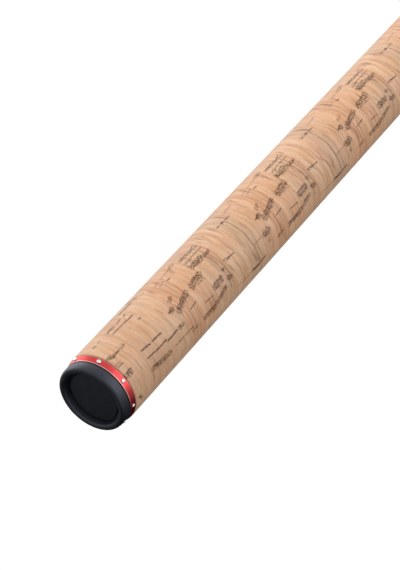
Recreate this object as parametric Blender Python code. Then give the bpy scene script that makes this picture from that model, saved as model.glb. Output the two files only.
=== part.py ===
"""Two-section boat rod, lying along +X from its butt cap at the origin, with the guides on its +Z side.

Every length is in metres. Pieces that touch on the real rod are kept a named clearance apart.
"""

import math
from dataclasses import dataclass

import bmesh
import bpy
from mathutils import Matrix, Vector

# Clearances
GLUE_GAP = 0.00020
FACE_GAP = 0.00030
RUNNING_GAP = 0.00030
FERRULE_GAP = 0.00015
STUD_GAP = 0.00012

# Butt cap
CAP_RADIUS = 0.0163
CAP_LENGTH = 0.0050
CAP_LIP_WIDTH = 0.0027
CAP_LIP_ROUNDING = 0.0012
CAP_DISH_DEPTH = 0.0046
CAP_DISH_SLOPE = 0.0016
CAP_DISH_ROUNDING = 0.0006
CAP_EDGE_ROUNDING = 0.0003
CAP_SPIGOT_RADIUS = 0.0118
CAP_SPIGOT_LENGTH = 0.0170
CAP_SPIGOT_ROUNDING = 0.0006

# Butt ring and its studs
RING_WIDTH = 0.0030
RING_CAP_RADIUS = 0.0164
RING_GRIP_RADIUS = 0.0169
RING_CHAMFER = 0.00035
STUD_COUNT = 8
STUD_HEAD_RADIUS = 0.00095
STUD_HEAD_HEIGHT = 0.00055
STUD_DOME_STEPS = 3
STUD_SHANK_RADIUS = 0.00055
STUD_SHANK_LENGTH = 0.0018

# Rear grip
GRIP_BUTT_RADIUS = 0.0170
GRIP_TAPER = 0.0074
REAR_GRIP_LENGTH = 0.330
GRIP_SKIN = 0.0010
GRIP_EDGE_ROUNDING = 0.0007

# Blank: two tapered tubes of equal length, the tip section slipping over the lower one.
# Tapers are in metres of radius per metre of rod.
BLANK_BUTT_RADIUS = 0.0076
BLANK_TAPER = 0.0023
BLANK_WALL = 0.0018
BUNG_LENGTH = 0.012
FERRULE_LENGTH = 0.070
FERRULE_WALL = 0.0010
FERRULE_SWELL_LENGTH = 0.045
TIP_WALL = 0.00075
TIP_END = 1.826
TIP_END_RADIUS = 0.0016

# Trim rings
CHECK_LENGTH = 0.0040
CHECK_ROUNDING = 0.0008
FRONT_CHECK_LENGTH = 0.0070
FRONT_CHECK_NOSE = 0.0012

# Reel seat
SEAT_LENGTH = 0.150
SEAT_RADIUS = 0.0125
SEAT_BORE_RADIUS = 0.0088
SEAT_BED_HEIGHT = 0.0104
THREAD_LENGTH = 0.051
THREAD_PITCH = 0.0030
THREAD_DEPTH = 0.00075
THREAD_ROWS_PER_TURN = 3
KEYWAY_WIDTH = 0.0032
KEYWAY_DEPTH = 0.0014
KEYWAY_LENGTH = 0.080
ARBOR_LENGTH = 0.045
ARBOR_INSET = 0.008

# Hoods, their liners and the lock nut
HOOD_WALL = 0.0013
HOOD_LENGTH = 0.026
HOOD_ROOF = 0.0015
HOOD_NOSE_DROP = 0.0040
HOOD_SHOULDER_DROP = 0.0013
HOOD_FLAT_SHARE = 0.45
HOOD_SLOPE_SHARE = 0.75
ARCH_SQUARENESS = 6
FOOT_ROOM = 0.0052
POCKET_DEPTH = 0.0150
POCKET_HALF_WIDTH = 0.0088
LINER_THICKNESS = 0.0010
LINER_BARREL = 0.0060
HOOD_SPACING = 0.058
NUT_LENGTH = 0.0130
NUT_WALL = 0.0034
NUT_FLUTES = 16
NUT_FACETS_PER_FLUTE = 4
NUT_FLUTE_DEPTH = 0.0008
NUT_SHOULDER = 0.0020
NUT_ROUNDING = 0.0006

# Foregrip
FOREGRIP_LENGTH = 0.150
FOREGRIP_REAR_RADIUS = 0.0150
FOREGRIP_FRONT_RADIUS = 0.0126
FOREGRIP_ROUNDING = 0.0024

# Thread wraps
WRAP_THICKNESS = 0.00125
WRAP_END_THICKNESS = 0.00030
WRAP_END_TAPER = 0.0020
WRAP_SHOULDER_SHARE = 0.8
WRAP_LIFT = 0.4
TRIM_WRAP_LENGTH = 0.016
TRIM_WRAP_SETBACK = 0.004
FERRULE_WRAP_LENGTH = 0.038
BAND_THICKNESS = 0.0007

# Guides, from the butt towards the tip
GUIDE_RING_RADII = (0.0100, 0.0080, 0.0070, 0.0062, 0.0062)
STRIPPER_BEFORE_FERRULE = 0.060
GUIDE_SPACING_GROWTH = 1.27
GUIDE_RISE = 0.0045
GUIDE_REACH = 0.0070
HOOP_THICKNESS = 0.0011
HOOP_WIDTH = 0.0026
HOOP_ROUNDING = 0.00033
CERAMIC_THICKNESS = 0.0014
CERAMIC_WIDTH = 0.0034
CERAMIC_ROUNDING = 0.0011
LEG_RADIUS = 0.00085
LEG_ANGLE = math.radians(52)
LEG_TOP_SPREAD = 0.00065
LEG_FOOT_SPREAD = 0.00067
FOOT_LENGTH = 0.0130
FOOT_WIDTH = 0.0040
FOOT_TIP_WIDTH = 0.0020
FOOT_THICKNESS = 0.0010
FOOT_TIP_THICKNESS = 0.0005
WRAP_PAST_FOOT = 0.0035
WRAP_FROM_LEG = 0.0010

# Tip guide
TIP_RING_RADIUS = 0.0060
TIP_TUBE_WALL = 0.00045
TIP_TUBE_LENGTH = 0.0130
TIP_TUBE_CAP = 0.0008
TIP_HOOP_OVERHANG = 0.0042
TIP_KEEL_SINK = 0.00051
TIP_BRACE_RADIUS = 0.00068
TIP_BRACE_ANGLE = math.radians(78)
TIP_BRACE_START = 0.00455
TIP_BRACE_SPREAD = 0.00051
TIP_BRACE_SINK = 0.000255
TIP_WRAP_LENGTH = 0.0080

# Facets round each kind of turned piece
FINE_SIDES = 40
PLAIN_SIDES = 32
SMALL_SIDES = 20
BLANK_SIDES = 16
STUD_SIDES = 10
SEAT_SIDES = 20
BAR_SIDES = 6

# A rounding takes at most this share of either edge beside it
ROUNDING_REACH = 0.48
# Edges sharper than this are drawn sharp
SMOOTH_ANGLE = math.radians(35)
# Points closer than this are one point
WELD = 1e-7


@dataclass(frozen=True)
class Paint:
    """Colour and surface of one kind of material."""

    name: str
    colour: tuple
    roughness: float
    metallic: float = 0.0


RUBBER = Paint("rubber", (0.030, 0.030, 0.033), 0.75)
RED_ANODISED = Paint("red_anodised", (0.48, 0.025, 0.022), 0.30, 1.0)
CHROME = Paint("chrome", (0.78, 0.78, 0.80), 0.12, 1.0)
CORK_PRINT = Paint("cork_print", (0.61, 0.40, 0.25), 0.60)
FOAM = Paint("eva_foam", (0.05, 0.05, 0.05), 0.90)
BLANK_PAINT = Paint("blank", (0.020, 0.018, 0.020), 0.25)
GRAPHITE = Paint("graphite_plastic", (0.035, 0.035, 0.038), 0.45)
HOOD_METAL = Paint("hood_metal", (0.12, 0.12, 0.13), 0.30, 1.0)
LINER = Paint("liner", (0.06, 0.06, 0.06), 0.65)
FIBRE = Paint("fibre", (0.45, 0.33, 0.20), 0.85)
WRAP_THREAD = Paint("wrap_thread", (0.045, 0.008, 0.010), 0.15)
FRAME_STEEL = Paint("frame_steel", (0.25, 0.25, 0.27), 0.25, 1.0)
CERAMIC = Paint("ceramic", (0.06, 0.06, 0.07), 0.10)


def clear_scene():
    """Removes what the scene starts with."""
    for obj in list(bpy.data.objects):
        bpy.data.objects.remove(obj, do_unlink=True)


def material(paint):
    """The Principled material of a paint, made once."""
    found = bpy.data.materials.get(paint.name)
    if found:
        return found
    made = bpy.data.materials.new(paint.name)
    made.use_nodes = True
    shader = made.node_tree.nodes["Principled BSDF"]
    shader.inputs["Base Color"].default_value = (*paint.colour, 1.0)
    shader.inputs["Roughness"].default_value = paint.roughness
    shader.inputs["Metallic"].default_value = paint.metallic
    return made


def section(name, location=(0.0, 0.0, 0.0), parent=None):
    """An empty that carries the pieces of one rigid body."""
    empty = bpy.data.objects.new(name, None)
    empty.empty_display_size = 0.02
    empty.location = location
    empty.parent = parent
    bpy.context.scene.collection.objects.link(empty)
    return empty


def piece(name, mesh, paint=None, parent=None, location=(0.0, 0.0, 0.0)):
    """A named object with its own material, placed under its section."""
    obj = bpy.data.objects.new(name, mesh)
    bpy.context.scene.collection.objects.link(obj)
    obj.parent = parent
    obj.location = location
    if paint:
        mesh.materials.append(material(paint))
        mesh.shade_smooth()
        mesh.set_sharp_from_angle(angle=SMOOTH_ANGLE)
    return obj


def helper(name, mesh, beside):
    """A hidden shape used by a Boolean, in the same place as the object beside it."""
    obj = piece(name, mesh, parent=beside.parent, location=beside.location)
    obj.hide_render = True
    obj.display_type = "WIRE"
    return obj


def combine(obj, tool, operation):
    """Adds one exact Boolean to the object."""
    modifier = obj.modifiers.new(operation.lower() + "_" + tool.name, "BOOLEAN")
    modifier.operation = operation
    modifier.solver = "EXACT"
    modifier.object = tool


def mesh_of(bm, name):
    """Closes a bmesh's faces outwards and turns it into a mesh."""
    bmesh.ops.recalc_face_normals(bm, faces=bm.faces)
    mesh = bpy.data.meshes.new(name)
    bm.to_mesh(mesh)
    bm.free()
    return mesh


def rounded(corners, arc_steps=2):
    """Outline through (x, radius, rounding) corners, each rounding drawn as an arc."""
    outline = []
    for index, (x, y, rounding) in enumerate(corners):
        here = Vector((x, y))
        before = Vector(corners[index - 1][:2]) - here
        after = Vector(corners[(index + 1) % len(corners)][:2]) - here
        half = before.angle(after) / 2
        straight = abs(half - math.pi / 2) < 1e-4
        if rounding <= 0.0 or straight:
            outline.append(here)
            continue
        room = ROUNDING_REACH * min(before.length, after.length)
        reach = min(rounding / math.tan(half), room)
        before.normalize()
        after.normalize()
        start = here + before * reach
        end = here + after * reach
        centre = here + (before + after).normalized() * (reach / math.cos(half))
        for step in range(arc_steps + 1):
            chord = start.lerp(end, step / arc_steps) - centre
            outline.append(centre + chord.normalized() * (start - centre).length)
    return [(point.x, point.y) for point in outline]


def turned(name, outline, sides, swell=None):
    """A closed (x, radius) outline turned round the X axis; swell(x, radius, angle) shifts the radius."""
    bm = bmesh.new()
    rings = []
    for step in range(sides):
        angle = 2 * math.pi * step / sides
        ring = []
        for x, radius in outline:
            if swell:
                radius = radius + swell(x, radius, angle)
            ring.append(bm.verts.new((x, -radius * math.sin(angle), radius * math.cos(angle))))
        rings.append(ring)
    count = len(outline)
    for step in range(sides):
        near, far = rings[step], rings[(step + 1) % sides]
        for i in range(count):
            j = (i + 1) % count
            if outline[i][1] == 0.0 and outline[j][1] == 0.0:
                continue
            bm.faces.new((near[i], near[j], far[j], far[i]))
    bmesh.ops.remove_doubles(bm, verts=bm.verts, dist=WELD)
    return mesh_of(bm, name)


def box(name, low, high):
    """A block between two corners."""
    bm = bmesh.new()
    bmesh.ops.create_cube(bm, size=1.0)
    size = Vector(high) - Vector(low)
    centre = (Vector(high) + Vector(low)) / 2
    bmesh.ops.scale(bm, vec=size, verts=bm.verts)
    bmesh.ops.translate(bm, vec=centre, verts=bm.verts)
    return mesh_of(bm, name)


def bar(name, start, end, radius):
    """A round bar from one point to another."""
    start, end = Vector(start), Vector(end)
    along = end - start
    turn = along.to_track_quat("Z", "Y").to_matrix().to_4x4()
    bm = bmesh.new()
    bmesh.ops.create_cone(
        bm,
        cap_ends=True,
        segments=BAR_SIDES,
        radius1=radius,
        radius2=radius,
        depth=along.length,
        matrix=Matrix.Translation((start + end) / 2) @ turn,
    )
    return mesh_of(bm, name)


def lofted(name, sections):
    """A solid through cross-sections, each (x, list of (y, z) points), closed at both ends."""
    bm = bmesh.new()
    rings = [[bm.verts.new((x, y, z)) for y, z in points] for x, points in sections]
    count = len(rings[0])
    for near, far in zip(rings, rings[1:]):
        for i in range(count):
            j = (i + 1) % count
            bm.faces.new((near[i], near[j], far[j], far[i]))
    bm.faces.new(rings[0])
    bm.faces.new(rings[-1])
    bmesh.ops.remove_doubles(bm, verts=bm.verts, dist=WELD)
    return mesh_of(bm, name)


def blank_radius(x):
    """Outer radius of the lower blank at a distance from the butt."""
    return BLANK_BUTT_RADIUS - BLANK_TAPER * x


def tip_blank_radius(x):
    """Outer radius of the tip section, swelling over the ferrule."""
    mouth = blank_radius(FERRULE_START) + FERRULE_GAP + FERRULE_WALL
    plain_start = blank_radius(SWELL_END)
    if x <= FERRULE_END:
        return mouth - BLANK_TAPER * (x - FERRULE_START)
    if x <= SWELL_END:
        share = (x - FERRULE_END) / FERRULE_SWELL_LENGTH
        shoulder = mouth - BLANK_TAPER * FERRULE_LENGTH
        return shoulder + (plain_start - shoulder) * share
    share = (x - SWELL_END) / (TIP_END - SWELL_END)
    return plain_start + (TIP_END_RADIUS - plain_start) * share


def rod_radius(x):
    """Outer radius of whichever section carries a guide at x."""
    return blank_radius(x) if x < FERRULE_START else tip_blank_radius(x)


def grip_radius(x):
    """Outer radius of the rear grip at a distance from the butt."""
    return GRIP_BUTT_RADIUS - GRIP_TAPER * x


# Height of a hood's pocket over the rod's axis
POCKET_HEIGHT = SEAT_BED_HEIGHT + RUNNING_GAP + FOOT_ROOM + LINER_THICKNESS + GLUE_GAP
# The flat bed starts just inside the fixed hood's pocket, so that a reel's foot lies on all of it
SEAT_BED_MARGIN = HOOD_LENGTH - POCKET_DEPTH + GLUE_GAP

# Places along the rod, from the butt to the tip
RING_START = CAP_LENGTH + FACE_GAP
GRIP_START = RING_START + RING_WIDTH + FACE_GAP
GRIP_END = GRIP_START + REAR_GRIP_LENGTH
SPIGOT_END = CAP_LENGTH + CAP_SPIGOT_LENGTH
BLANK_START = SPIGOT_END + FACE_GAP
REAR_CHECK_START = GRIP_END + FACE_GAP
SEAT_START = REAR_CHECK_START + CHECK_LENGTH + FACE_GAP
SEAT_END = SEAT_START + SEAT_LENGTH
FIXED_HOOD_MOUTH = SEAT_START + HOOD_LENGTH
SLIDING_HOOD_MOUTH = FIXED_HOOD_MOUTH + HOOD_SPACING
NUT_START = SLIDING_HOOD_MOUTH + HOOD_LENGTH + FACE_GAP
NUT_RADIUS = SEAT_RADIUS + RUNNING_GAP + NUT_WALL
SEAT_CHECK_START = SEAT_END + FACE_GAP
FOREGRIP_START = SEAT_CHECK_START + CHECK_LENGTH + FACE_GAP
FOREGRIP_END = FOREGRIP_START + FOREGRIP_LENGTH
FRONT_CHECK_START = FOREGRIP_END + FACE_GAP

# The ferrule lies where both sections come out equally long
FERRULE_START = (TIP_END - FERRULE_LENGTH) / 2
FERRULE_END = FERRULE_START + FERRULE_LENGTH
SWELL_END = FERRULE_END + FERRULE_SWELL_LENGTH
TRIM_WRAP_START = FERRULE_START - TRIM_WRAP_SETBACK - TRIM_WRAP_LENGTH


def build_butt_cap(parent):
    """Rubber cap: a lip round a dished end, and a spigot that plugs into the grip."""
    lip_inner = CAP_RADIUS - CAP_LIP_WIDTH
    floor_radius = lip_inner - CAP_DISH_SLOPE
    outline = rounded([
        (SPIGOT_END, 0.0, 0.0),
        (SPIGOT_END, CAP_SPIGOT_RADIUS, CAP_SPIGOT_ROUNDING),
        (CAP_LENGTH, CAP_SPIGOT_RADIUS, 0.0),
        (CAP_LENGTH, CAP_RADIUS, CAP_EDGE_ROUNDING),
        (0.0, CAP_RADIUS, CAP_LIP_ROUNDING),
        (0.0, lip_inner, CAP_LIP_ROUNDING / 2),
        (CAP_DISH_DEPTH, floor_radius, CAP_DISH_ROUNDING),
        (CAP_DISH_DEPTH, 0.0, 0.0),
    ])
    piece("butt_cap", turned("butt_cap", outline, FINE_SIDES), RUBBER, parent)


def build_butt_ring(parent):
    """Red trim ring, drilled all round for its studs."""
    bore = CAP_SPIGOT_RADIUS + GLUE_GAP
    outline = [
        (0.0, bore),
        (0.0, RING_CAP_RADIUS - RING_CHAMFER),
        (RING_CHAMFER, RING_CAP_RADIUS),
        (RING_WIDTH - RING_CHAMFER, RING_GRIP_RADIUS),
        (RING_WIDTH, RING_GRIP_RADIUS - RING_CHAMFER),
        (RING_WIDTH, bore),
    ]
    ring = piece("butt_ring", turned("butt_ring", outline, FINE_SIDES), RED_ANODISED, parent,
                 (RING_START, 0.0, 0.0))
    middle = RING_WIDTH / 2
    outside = (RING_CAP_RADIUS + RING_GRIP_RADIUS) / 2
    depth = STUD_SHANK_LENGTH + STUD_GAP
    holes = bmesh.new()
    for index in range(STUD_COUNT):
        turn = Matrix.Rotation(2 * math.pi * index / STUD_COUNT, 4, "X")
        reach = depth + STUD_HEAD_HEIGHT
        centre = Matrix.Translation((middle, 0.0, outside - depth + reach / 2))
        bmesh.ops.create_cone(
            holes,
            cap_ends=True,
            segments=STUD_SIDES,
            radius1=STUD_SHANK_RADIUS + STUD_GAP,
            radius2=STUD_SHANK_RADIUS + STUD_GAP,
            depth=reach,
            matrix=turn @ centre,
        )
    combine(ring, helper("stud_holes", mesh_of(holes, "stud_holes"), ring), "DIFFERENCE")
    build_studs(parent, RING_START + middle, outside)


def build_studs(parent, x, outside):
    """Domed studs set round the ring, their shanks in its holes."""
    outline = [
        (-STUD_SHANK_LENGTH, 0.0),
        (-STUD_SHANK_LENGTH, STUD_SHANK_RADIUS),
        (STUD_GAP, STUD_SHANK_RADIUS),
    ]
    for step in range(STUD_DOME_STEPS):
        lean = math.pi / 2 * step / STUD_DOME_STEPS
        outline.append((STUD_GAP + STUD_HEAD_HEIGHT * math.sin(lean), STUD_HEAD_RADIUS * math.cos(lean)))
    outline.append((STUD_GAP + STUD_HEAD_HEIGHT, 0.0))
    mesh = turned("ring_stud", outline, STUD_SIDES)
    for index in range(STUD_COUNT):
        angle = 2 * math.pi * index / STUD_COUNT
        place = (x, -outside * math.sin(angle), outside * math.cos(angle))
        stud = piece(f"ring_stud_{index + 1}", mesh if index == 0 else mesh.copy(), CHROME, parent, place)
        outward = Matrix.Rotation(angle, 4, "X") @ Matrix.Rotation(-math.pi / 2, 4, "Y")
        stud.rotation_euler = outward.to_euler()


def sleeve(name, start, length, outer, inner, paint, parent, sides, rounding=0.0):
    """A tube whose outer and inner radii are functions of the distance from the butt."""
    outline = rounded([
        (0.0, inner(start), 0.0),
        (0.0, outer(start), rounding),
        (length, outer(start + length), rounding),
        (length, inner(start + length), 0.0),
    ])
    return piece(name, turned(name, outline, sides), paint, parent, (start, 0.0, 0.0))


def build_grip(prefix, start, length, outer, rounding, parent, sides, spigot_radius=0.0):
    """Printed sleeve over a foam former that fills the space round the blank."""

    def skin_inner(x):
        return outer(x) - GRIP_SKIN

    def core_outer(x):
        return skin_inner(x) - GLUE_GAP

    def core_inner(x):
        return blank_radius(x) + GLUE_GAP

    sleeve(prefix + "_skin", start, length, outer, skin_inner, CORK_PRINT, parent, sides, rounding)
    if not spigot_radius:
        sleeve(prefix + "_core", start, length, core_outer, core_inner, FOAM, parent, SMALL_SIDES)
        return
    socket = spigot_radius + GLUE_GAP
    socket_end = SPIGOT_END + FACE_GAP
    outline = [
        (0.0, socket),
        (0.0, core_outer(start)),
        (length, core_outer(start + length)),
        (length, core_inner(start + length)),
        (socket_end - start, core_inner(socket_end)),
        (socket_end - start, socket),
    ]
    name = prefix + "_core"
    piece(name, turned(name, outline, SMALL_SIDES), FOAM, parent, (start, 0.0, 0.0))


def build_check(name, start, length, rear_radius, front_radius, parent):
    """A trim ring round the blank."""

    def outer(x):
        return rear_radius + (front_radius - rear_radius) * (x - start) / length

    def inner(x):
        return blank_radius(x) + GLUE_GAP

    sleeve(name, start, length, outer, inner, RED_ANODISED, parent, PLAIN_SIDES, CHECK_ROUNDING)


def build_lower_blank(parent):
    """Tapered tube from the cap's spigot to the male end of the ferrule, and the bung in its butt."""

    def bore(x):
        return blank_radius(x) - BLANK_WALL

    sleeve("lower_blank", BLANK_START, FERRULE_END - BLANK_START, blank_radius, bore, BLANK_PAINT, parent,
           BLANK_SIDES)

    def bung_radius(x):
        return bore(x) - GLUE_GAP

    bung_end = BLANK_START + BUNG_LENGTH
    outline = [
        (0.0, 0.0),
        (0.0, bung_radius(BLANK_START)),
        (BUNG_LENGTH, bung_radius(bung_end)),
        (BUNG_LENGTH, 0.0),
    ]
    piece("blank_bung", turned("blank_bung", outline, BLANK_SIDES), FIBRE, parent, (BLANK_START, 0.0, 0.0))


def build_tip_blank(parent):
    """Tapered tip section; its thick end slips over the lower blank."""
    mouth_end = FERRULE_END + FACE_GAP
    places = [FERRULE_START, FERRULE_END, SWELL_END, TIP_END]
    outside = [(x - FERRULE_START, tip_blank_radius(x)) for x in places]
    inside = [
        (TIP_END - FERRULE_START, TIP_END_RADIUS - TIP_WALL),
        (SWELL_END - FERRULE_START, tip_blank_radius(SWELL_END) - TIP_WALL),
        (mouth_end - FERRULE_START, blank_radius(mouth_end) - TIP_WALL),
        (mouth_end - FERRULE_START, blank_radius(mouth_end) + FERRULE_GAP),
        (0.0, blank_radius(FERRULE_START) + FERRULE_GAP),
    ]
    piece("tip_blank", turned("tip_blank", outside + inside, BLANK_SIDES), BLANK_PAINT, parent)


def thread_outline():
    """Outline of the reel seat barrel, with close rows of points where its thread runs."""
    thread_start = SEAT_LENGTH - THREAD_LENGTH
    root = SEAT_RADIUS - THREAD_DEPTH
    step = THREAD_PITCH / THREAD_ROWS_PER_TURN
    rows = int(round(THREAD_LENGTH / step))
    outline = [(SEAT_LENGTH, SEAT_BORE_RADIUS), (0.0, SEAT_BORE_RADIUS), (0.0, SEAT_RADIUS)]
    outline.append((thread_start - step, SEAT_RADIUS))
    for row in range(rows + 1):
        outline.append((thread_start + THREAD_LENGTH * row / rows, root))
    return outline


def thread_swell(x, radius, angle):
    """Height of the thread's ridge above its root."""
    thread_start = SEAT_LENGTH - THREAD_LENGTH
    if radius <= SEAT_BORE_RADIUS or radius >= SEAT_RADIUS:
        return 0.0
    if x >= SEAT_LENGTH - THREAD_PITCH / 2 or x <= thread_start:
        return 0.0
    phase = (x / THREAD_PITCH - angle / (2 * math.pi)) % 1.0
    return THREAD_DEPTH * (1.0 - abs(2.0 * phase - 1.0))


def build_seat_body(parent):
    """Reel seat barrel: a flat bed for the reel's foot, a thread for the nut and a keyway for the hood."""
    mesh = turned("seat_body", thread_outline(), SEAT_SIDES, thread_swell)
    body = piece("seat_body", mesh, GRAPHITE, parent, (SEAT_START, 0.0, 0.0))
    past = SEAT_RADIUS * 2
    bed = box("foot_bed", (SEAT_BED_MARGIN, -past, SEAT_BED_HEIGHT), (SEAT_LENGTH + past, past, past))
    combine(body, helper("foot_bed", bed, body), "DIFFERENCE")
    half = KEYWAY_WIDTH / 2
    keyway = box("keyway", (SEAT_LENGTH - KEYWAY_LENGTH, -half, -past),
                 (SEAT_LENGTH + past, half, KEYWAY_DEPTH - SEAT_RADIUS))
    combine(body, helper("keyway", keyway, body), "DIFFERENCE")


def build_arbors(parent):
    """Fibre rings that centre the seat on the blank, one near each end."""

    def outer(x):
        return SEAT_BORE_RADIUS - GLUE_GAP

    def inner(x):
        return blank_radius(x) + GLUE_GAP

    starts = (SEAT_START + ARBOR_INSET, SEAT_END - ARBOR_INSET - ARBOR_LENGTH)
    for index, start in enumerate(starts):
        sleeve(f"seat_arbor_{index + 1}", start, ARBOR_LENGTH, outer, inner, FIBRE, parent, BLANK_SIDES)


def arch(barrel, half_width, height, sides):
    """Cross-section of a hood: a circle with a squarish arch standing on its top."""
    points = []
    for step in range(sides):
        angle = 2 * math.pi * step / sides
        across, up = math.sin(angle), math.cos(angle)
        reach = barrel
        if up > 0.0:
            squared = (abs(across) / half_width) ** ARCH_SQUARENESS + (up / height) ** ARCH_SQUARENESS
            reach = max(barrel, squared ** (-1 / ARCH_SQUARENESS))
        points.append((reach * across, reach * up))
    return points


def with_key(section_points, radius):
    """The same cross-section with a key standing in its lowest part, shaped for the seat's keyway."""
    half = KEYWAY_WIDTH / 2 - RUNNING_GAP
    top = KEYWAY_DEPTH - RUNNING_GAP - SEAT_RADIUS
    low = -math.sqrt(radius**2 - half**2)
    middle = len(section_points) // 2
    right = [point for point in section_points[:middle] if point[1] > low]
    left = [point for point in section_points[middle:] if point[1] > low]
    return right + [(half, low), (half, top), (-half, top), (-half, low)] + left


def build_hood(name, parent, start, facing, keyed):
    """A hood over the barrel with a pocket for one end of the reel's foot, and the pocket's cushion.

    The pocket opens towards facing (+1 or -1 along X) from the hood's origin, its mouth.
    """
    bore = SEAT_RADIUS + RUNNING_GAP
    outside = bore + HOOD_WALL
    back = -facing * HOOD_LENGTH
    half_width = POCKET_HALF_WIDTH + HOOD_ROOF
    roof = POCKET_HEIGHT + HOOD_ROOF
    shell = lofted(name, [
        (0.0, arch(outside, half_width, roof, PLAIN_SIDES)),
        (back * HOOD_FLAT_SHARE, arch(outside, half_width, roof, PLAIN_SIDES)),
        (back * HOOD_SLOPE_SHARE, arch(outside, half_width, roof - HOOD_SHOULDER_DROP, PLAIN_SIDES)),
        (back, arch(outside, half_width, roof - HOOD_NOSE_DROP, PLAIN_SIDES)),
    ])
    hood = piece(name, shell, HOOD_METAL, parent, (start, 0.0, 0.0))
    past = facing * HOOD_WALL
    pocket_end = -facing * POCKET_DEPTH
    pocket = arch(bore, POCKET_HALF_WIDTH, POCKET_HEIGHT, PLAIN_SIDES)
    barrel = arch(bore, bore / 2, bore / 2, PLAIN_SIDES)
    if keyed:
        pocket = with_key(pocket, bore)
        barrel = with_key(barrel, bore)
    hollow = lofted(name + "_hollow", [
        (past, pocket),
        (pocket_end, pocket),
        (pocket_end, barrel),
        (back - past, barrel),
    ])
    combine(hood, helper(name + "_hollow", hollow, hood), "DIFFERENCE")
    build_liner(name + "_liner", parent, start, facing)


def build_liner(name, parent, start, facing):
    """A thin cushion inside a hood's pocket, over the reel's foot."""
    inset = facing * FACE_GAP
    outer_half = POCKET_HALF_WIDTH - GLUE_GAP
    outer_height = POCKET_HEIGHT - GLUE_GAP
    back = -facing * (POCKET_DEPTH - FACE_GAP)
    outside = arch(LINER_BARREL, outer_half, outer_height, PLAIN_SIDES)
    shell = lofted(name, [(-inset, outside), (back, outside)])
    liner = piece(name, shell, LINER, parent, (start, 0.0, 0.0))
    past = facing * HOOD_WALL
    inner_half = outer_half - LINER_THICKNESS
    inner_height = outer_height - LINER_THICKNESS
    inside = arch(LINER_BARREL - LINER_THICKNESS, inner_half, inner_height, PLAIN_SIDES)
    room = lofted(name + "_room", [(past, inside), (back - past, inside)])
    combine(liner, helper(name + "_room", room, liner), "DIFFERENCE")
    wide = SEAT_RADIUS * 2
    foot_room = box(name + "_below", (-wide, -wide, -wide), (wide, wide, SEAT_BED_HEIGHT + RUNNING_GAP))
    combine(liner, helper(name + "_below", foot_room, liner), "DIFFERENCE")


def build_lock_nut(parent):
    """Fluted nut that runs on the seat's thread and pushes the sliding hood."""
    bore = SEAT_RADIUS + RUNNING_GAP
    shoulder = NUT_RADIUS - NUT_FLUTE_DEPTH
    outline = rounded([
        (0.0, bore, 0.0),
        (0.0, shoulder, NUT_ROUNDING),
        (NUT_SHOULDER, NUT_RADIUS, 0.0),
        (NUT_LENGTH - NUT_SHOULDER, NUT_RADIUS, 0.0),
        (NUT_LENGTH, shoulder, NUT_ROUNDING),
        (NUT_LENGTH, bore, 0.0),
    ], arc_steps=1)

    def flute(x, radius, angle):
        if radius <= shoulder:
            return 0.0
        return -NUT_FLUTE_DEPTH * (1.0 + math.cos(NUT_FLUTES * angle)) / 2

    mesh = turned("lock_nut", outline, NUT_FLUTES * NUT_FACETS_PER_FLUTE, flute)
    piece("lock_nut", mesh, RED_ANODISED, parent)


def build_band(name, start, length, surface, parent):
    """A smooth thread band all round the blank."""
    end = start + length

    def row(x, lift):
        return (x - start, surface(x) + lift)

    outline = [
        row(start, GLUE_GAP),
        row(start, GLUE_GAP + WRAP_END_THICKNESS),
        row(start + WRAP_END_TAPER, GLUE_GAP + BAND_THICKNESS),
        row(end - WRAP_END_TAPER, GLUE_GAP + BAND_THICKNESS),
        row(end, GLUE_GAP + WRAP_END_THICKNESS),
        row(end, GLUE_GAP),
    ]
    local_start = start - parent.matrix_world.translation.x
    piece(name, turned(name, outline, BLANK_SIDES), WRAP_THREAD, parent, (local_start, 0.0, 0.0))


def foot_wedge(name, side, reach, under, grow):
    """One foot of a guide frame, tapering outwards along the blank; grow adds room all round it."""
    near = side * (reach - grow)
    far = side * (reach + FOOT_LENGTH + grow)
    low = under - grow
    sections = []
    ends = ((near, FOOT_WIDTH, FOOT_THICKNESS), (far, FOOT_TIP_WIDTH, FOOT_TIP_THICKNESS))
    for x, width, thickness in ends:
        half = width / 2 + grow
        high = under + thickness + grow
        sections.append((x, [(-half, low), (half, low), (half, high), (-half, high)]))
    return lofted(name, sections)


def build_hoop(name, outer, x, height):
    """A steel ring with softened edges, standing across the rod."""
    half = HOOP_WIDTH / 2
    inner = outer - HOOP_THICKNESS
    outline = rounded([
        (-half, inner, HOOP_ROUNDING),
        (-half, outer, HOOP_ROUNDING),
        (half, outer, HOOP_ROUNDING),
        (half, inner, HOOP_ROUNDING),
    ], arc_steps=1)
    hoop = turned(name, outline, SMALL_SIDES)
    hoop.transform(Matrix.Translation((x, 0.0, height)))
    return hoop


def build_ceramic(name, radius, height, parent, x):
    """Hard ring that the line runs through, set in its hoop."""
    outer = radius - HOOP_THICKNESS - GLUE_GAP
    half = CERAMIC_WIDTH / 2
    inner = outer - CERAMIC_THICKNESS
    outline = rounded([
        (-half, outer, 0.0),
        (-half, inner, CERAMIC_ROUNDING),
        (half, inner, CERAMIC_ROUNDING),
        (half, outer, 0.0),
    ], arc_steps=1)
    piece(name, turned(name, outline, SMALL_SIDES), CERAMIC, parent, (x, 0.0, height))


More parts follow.
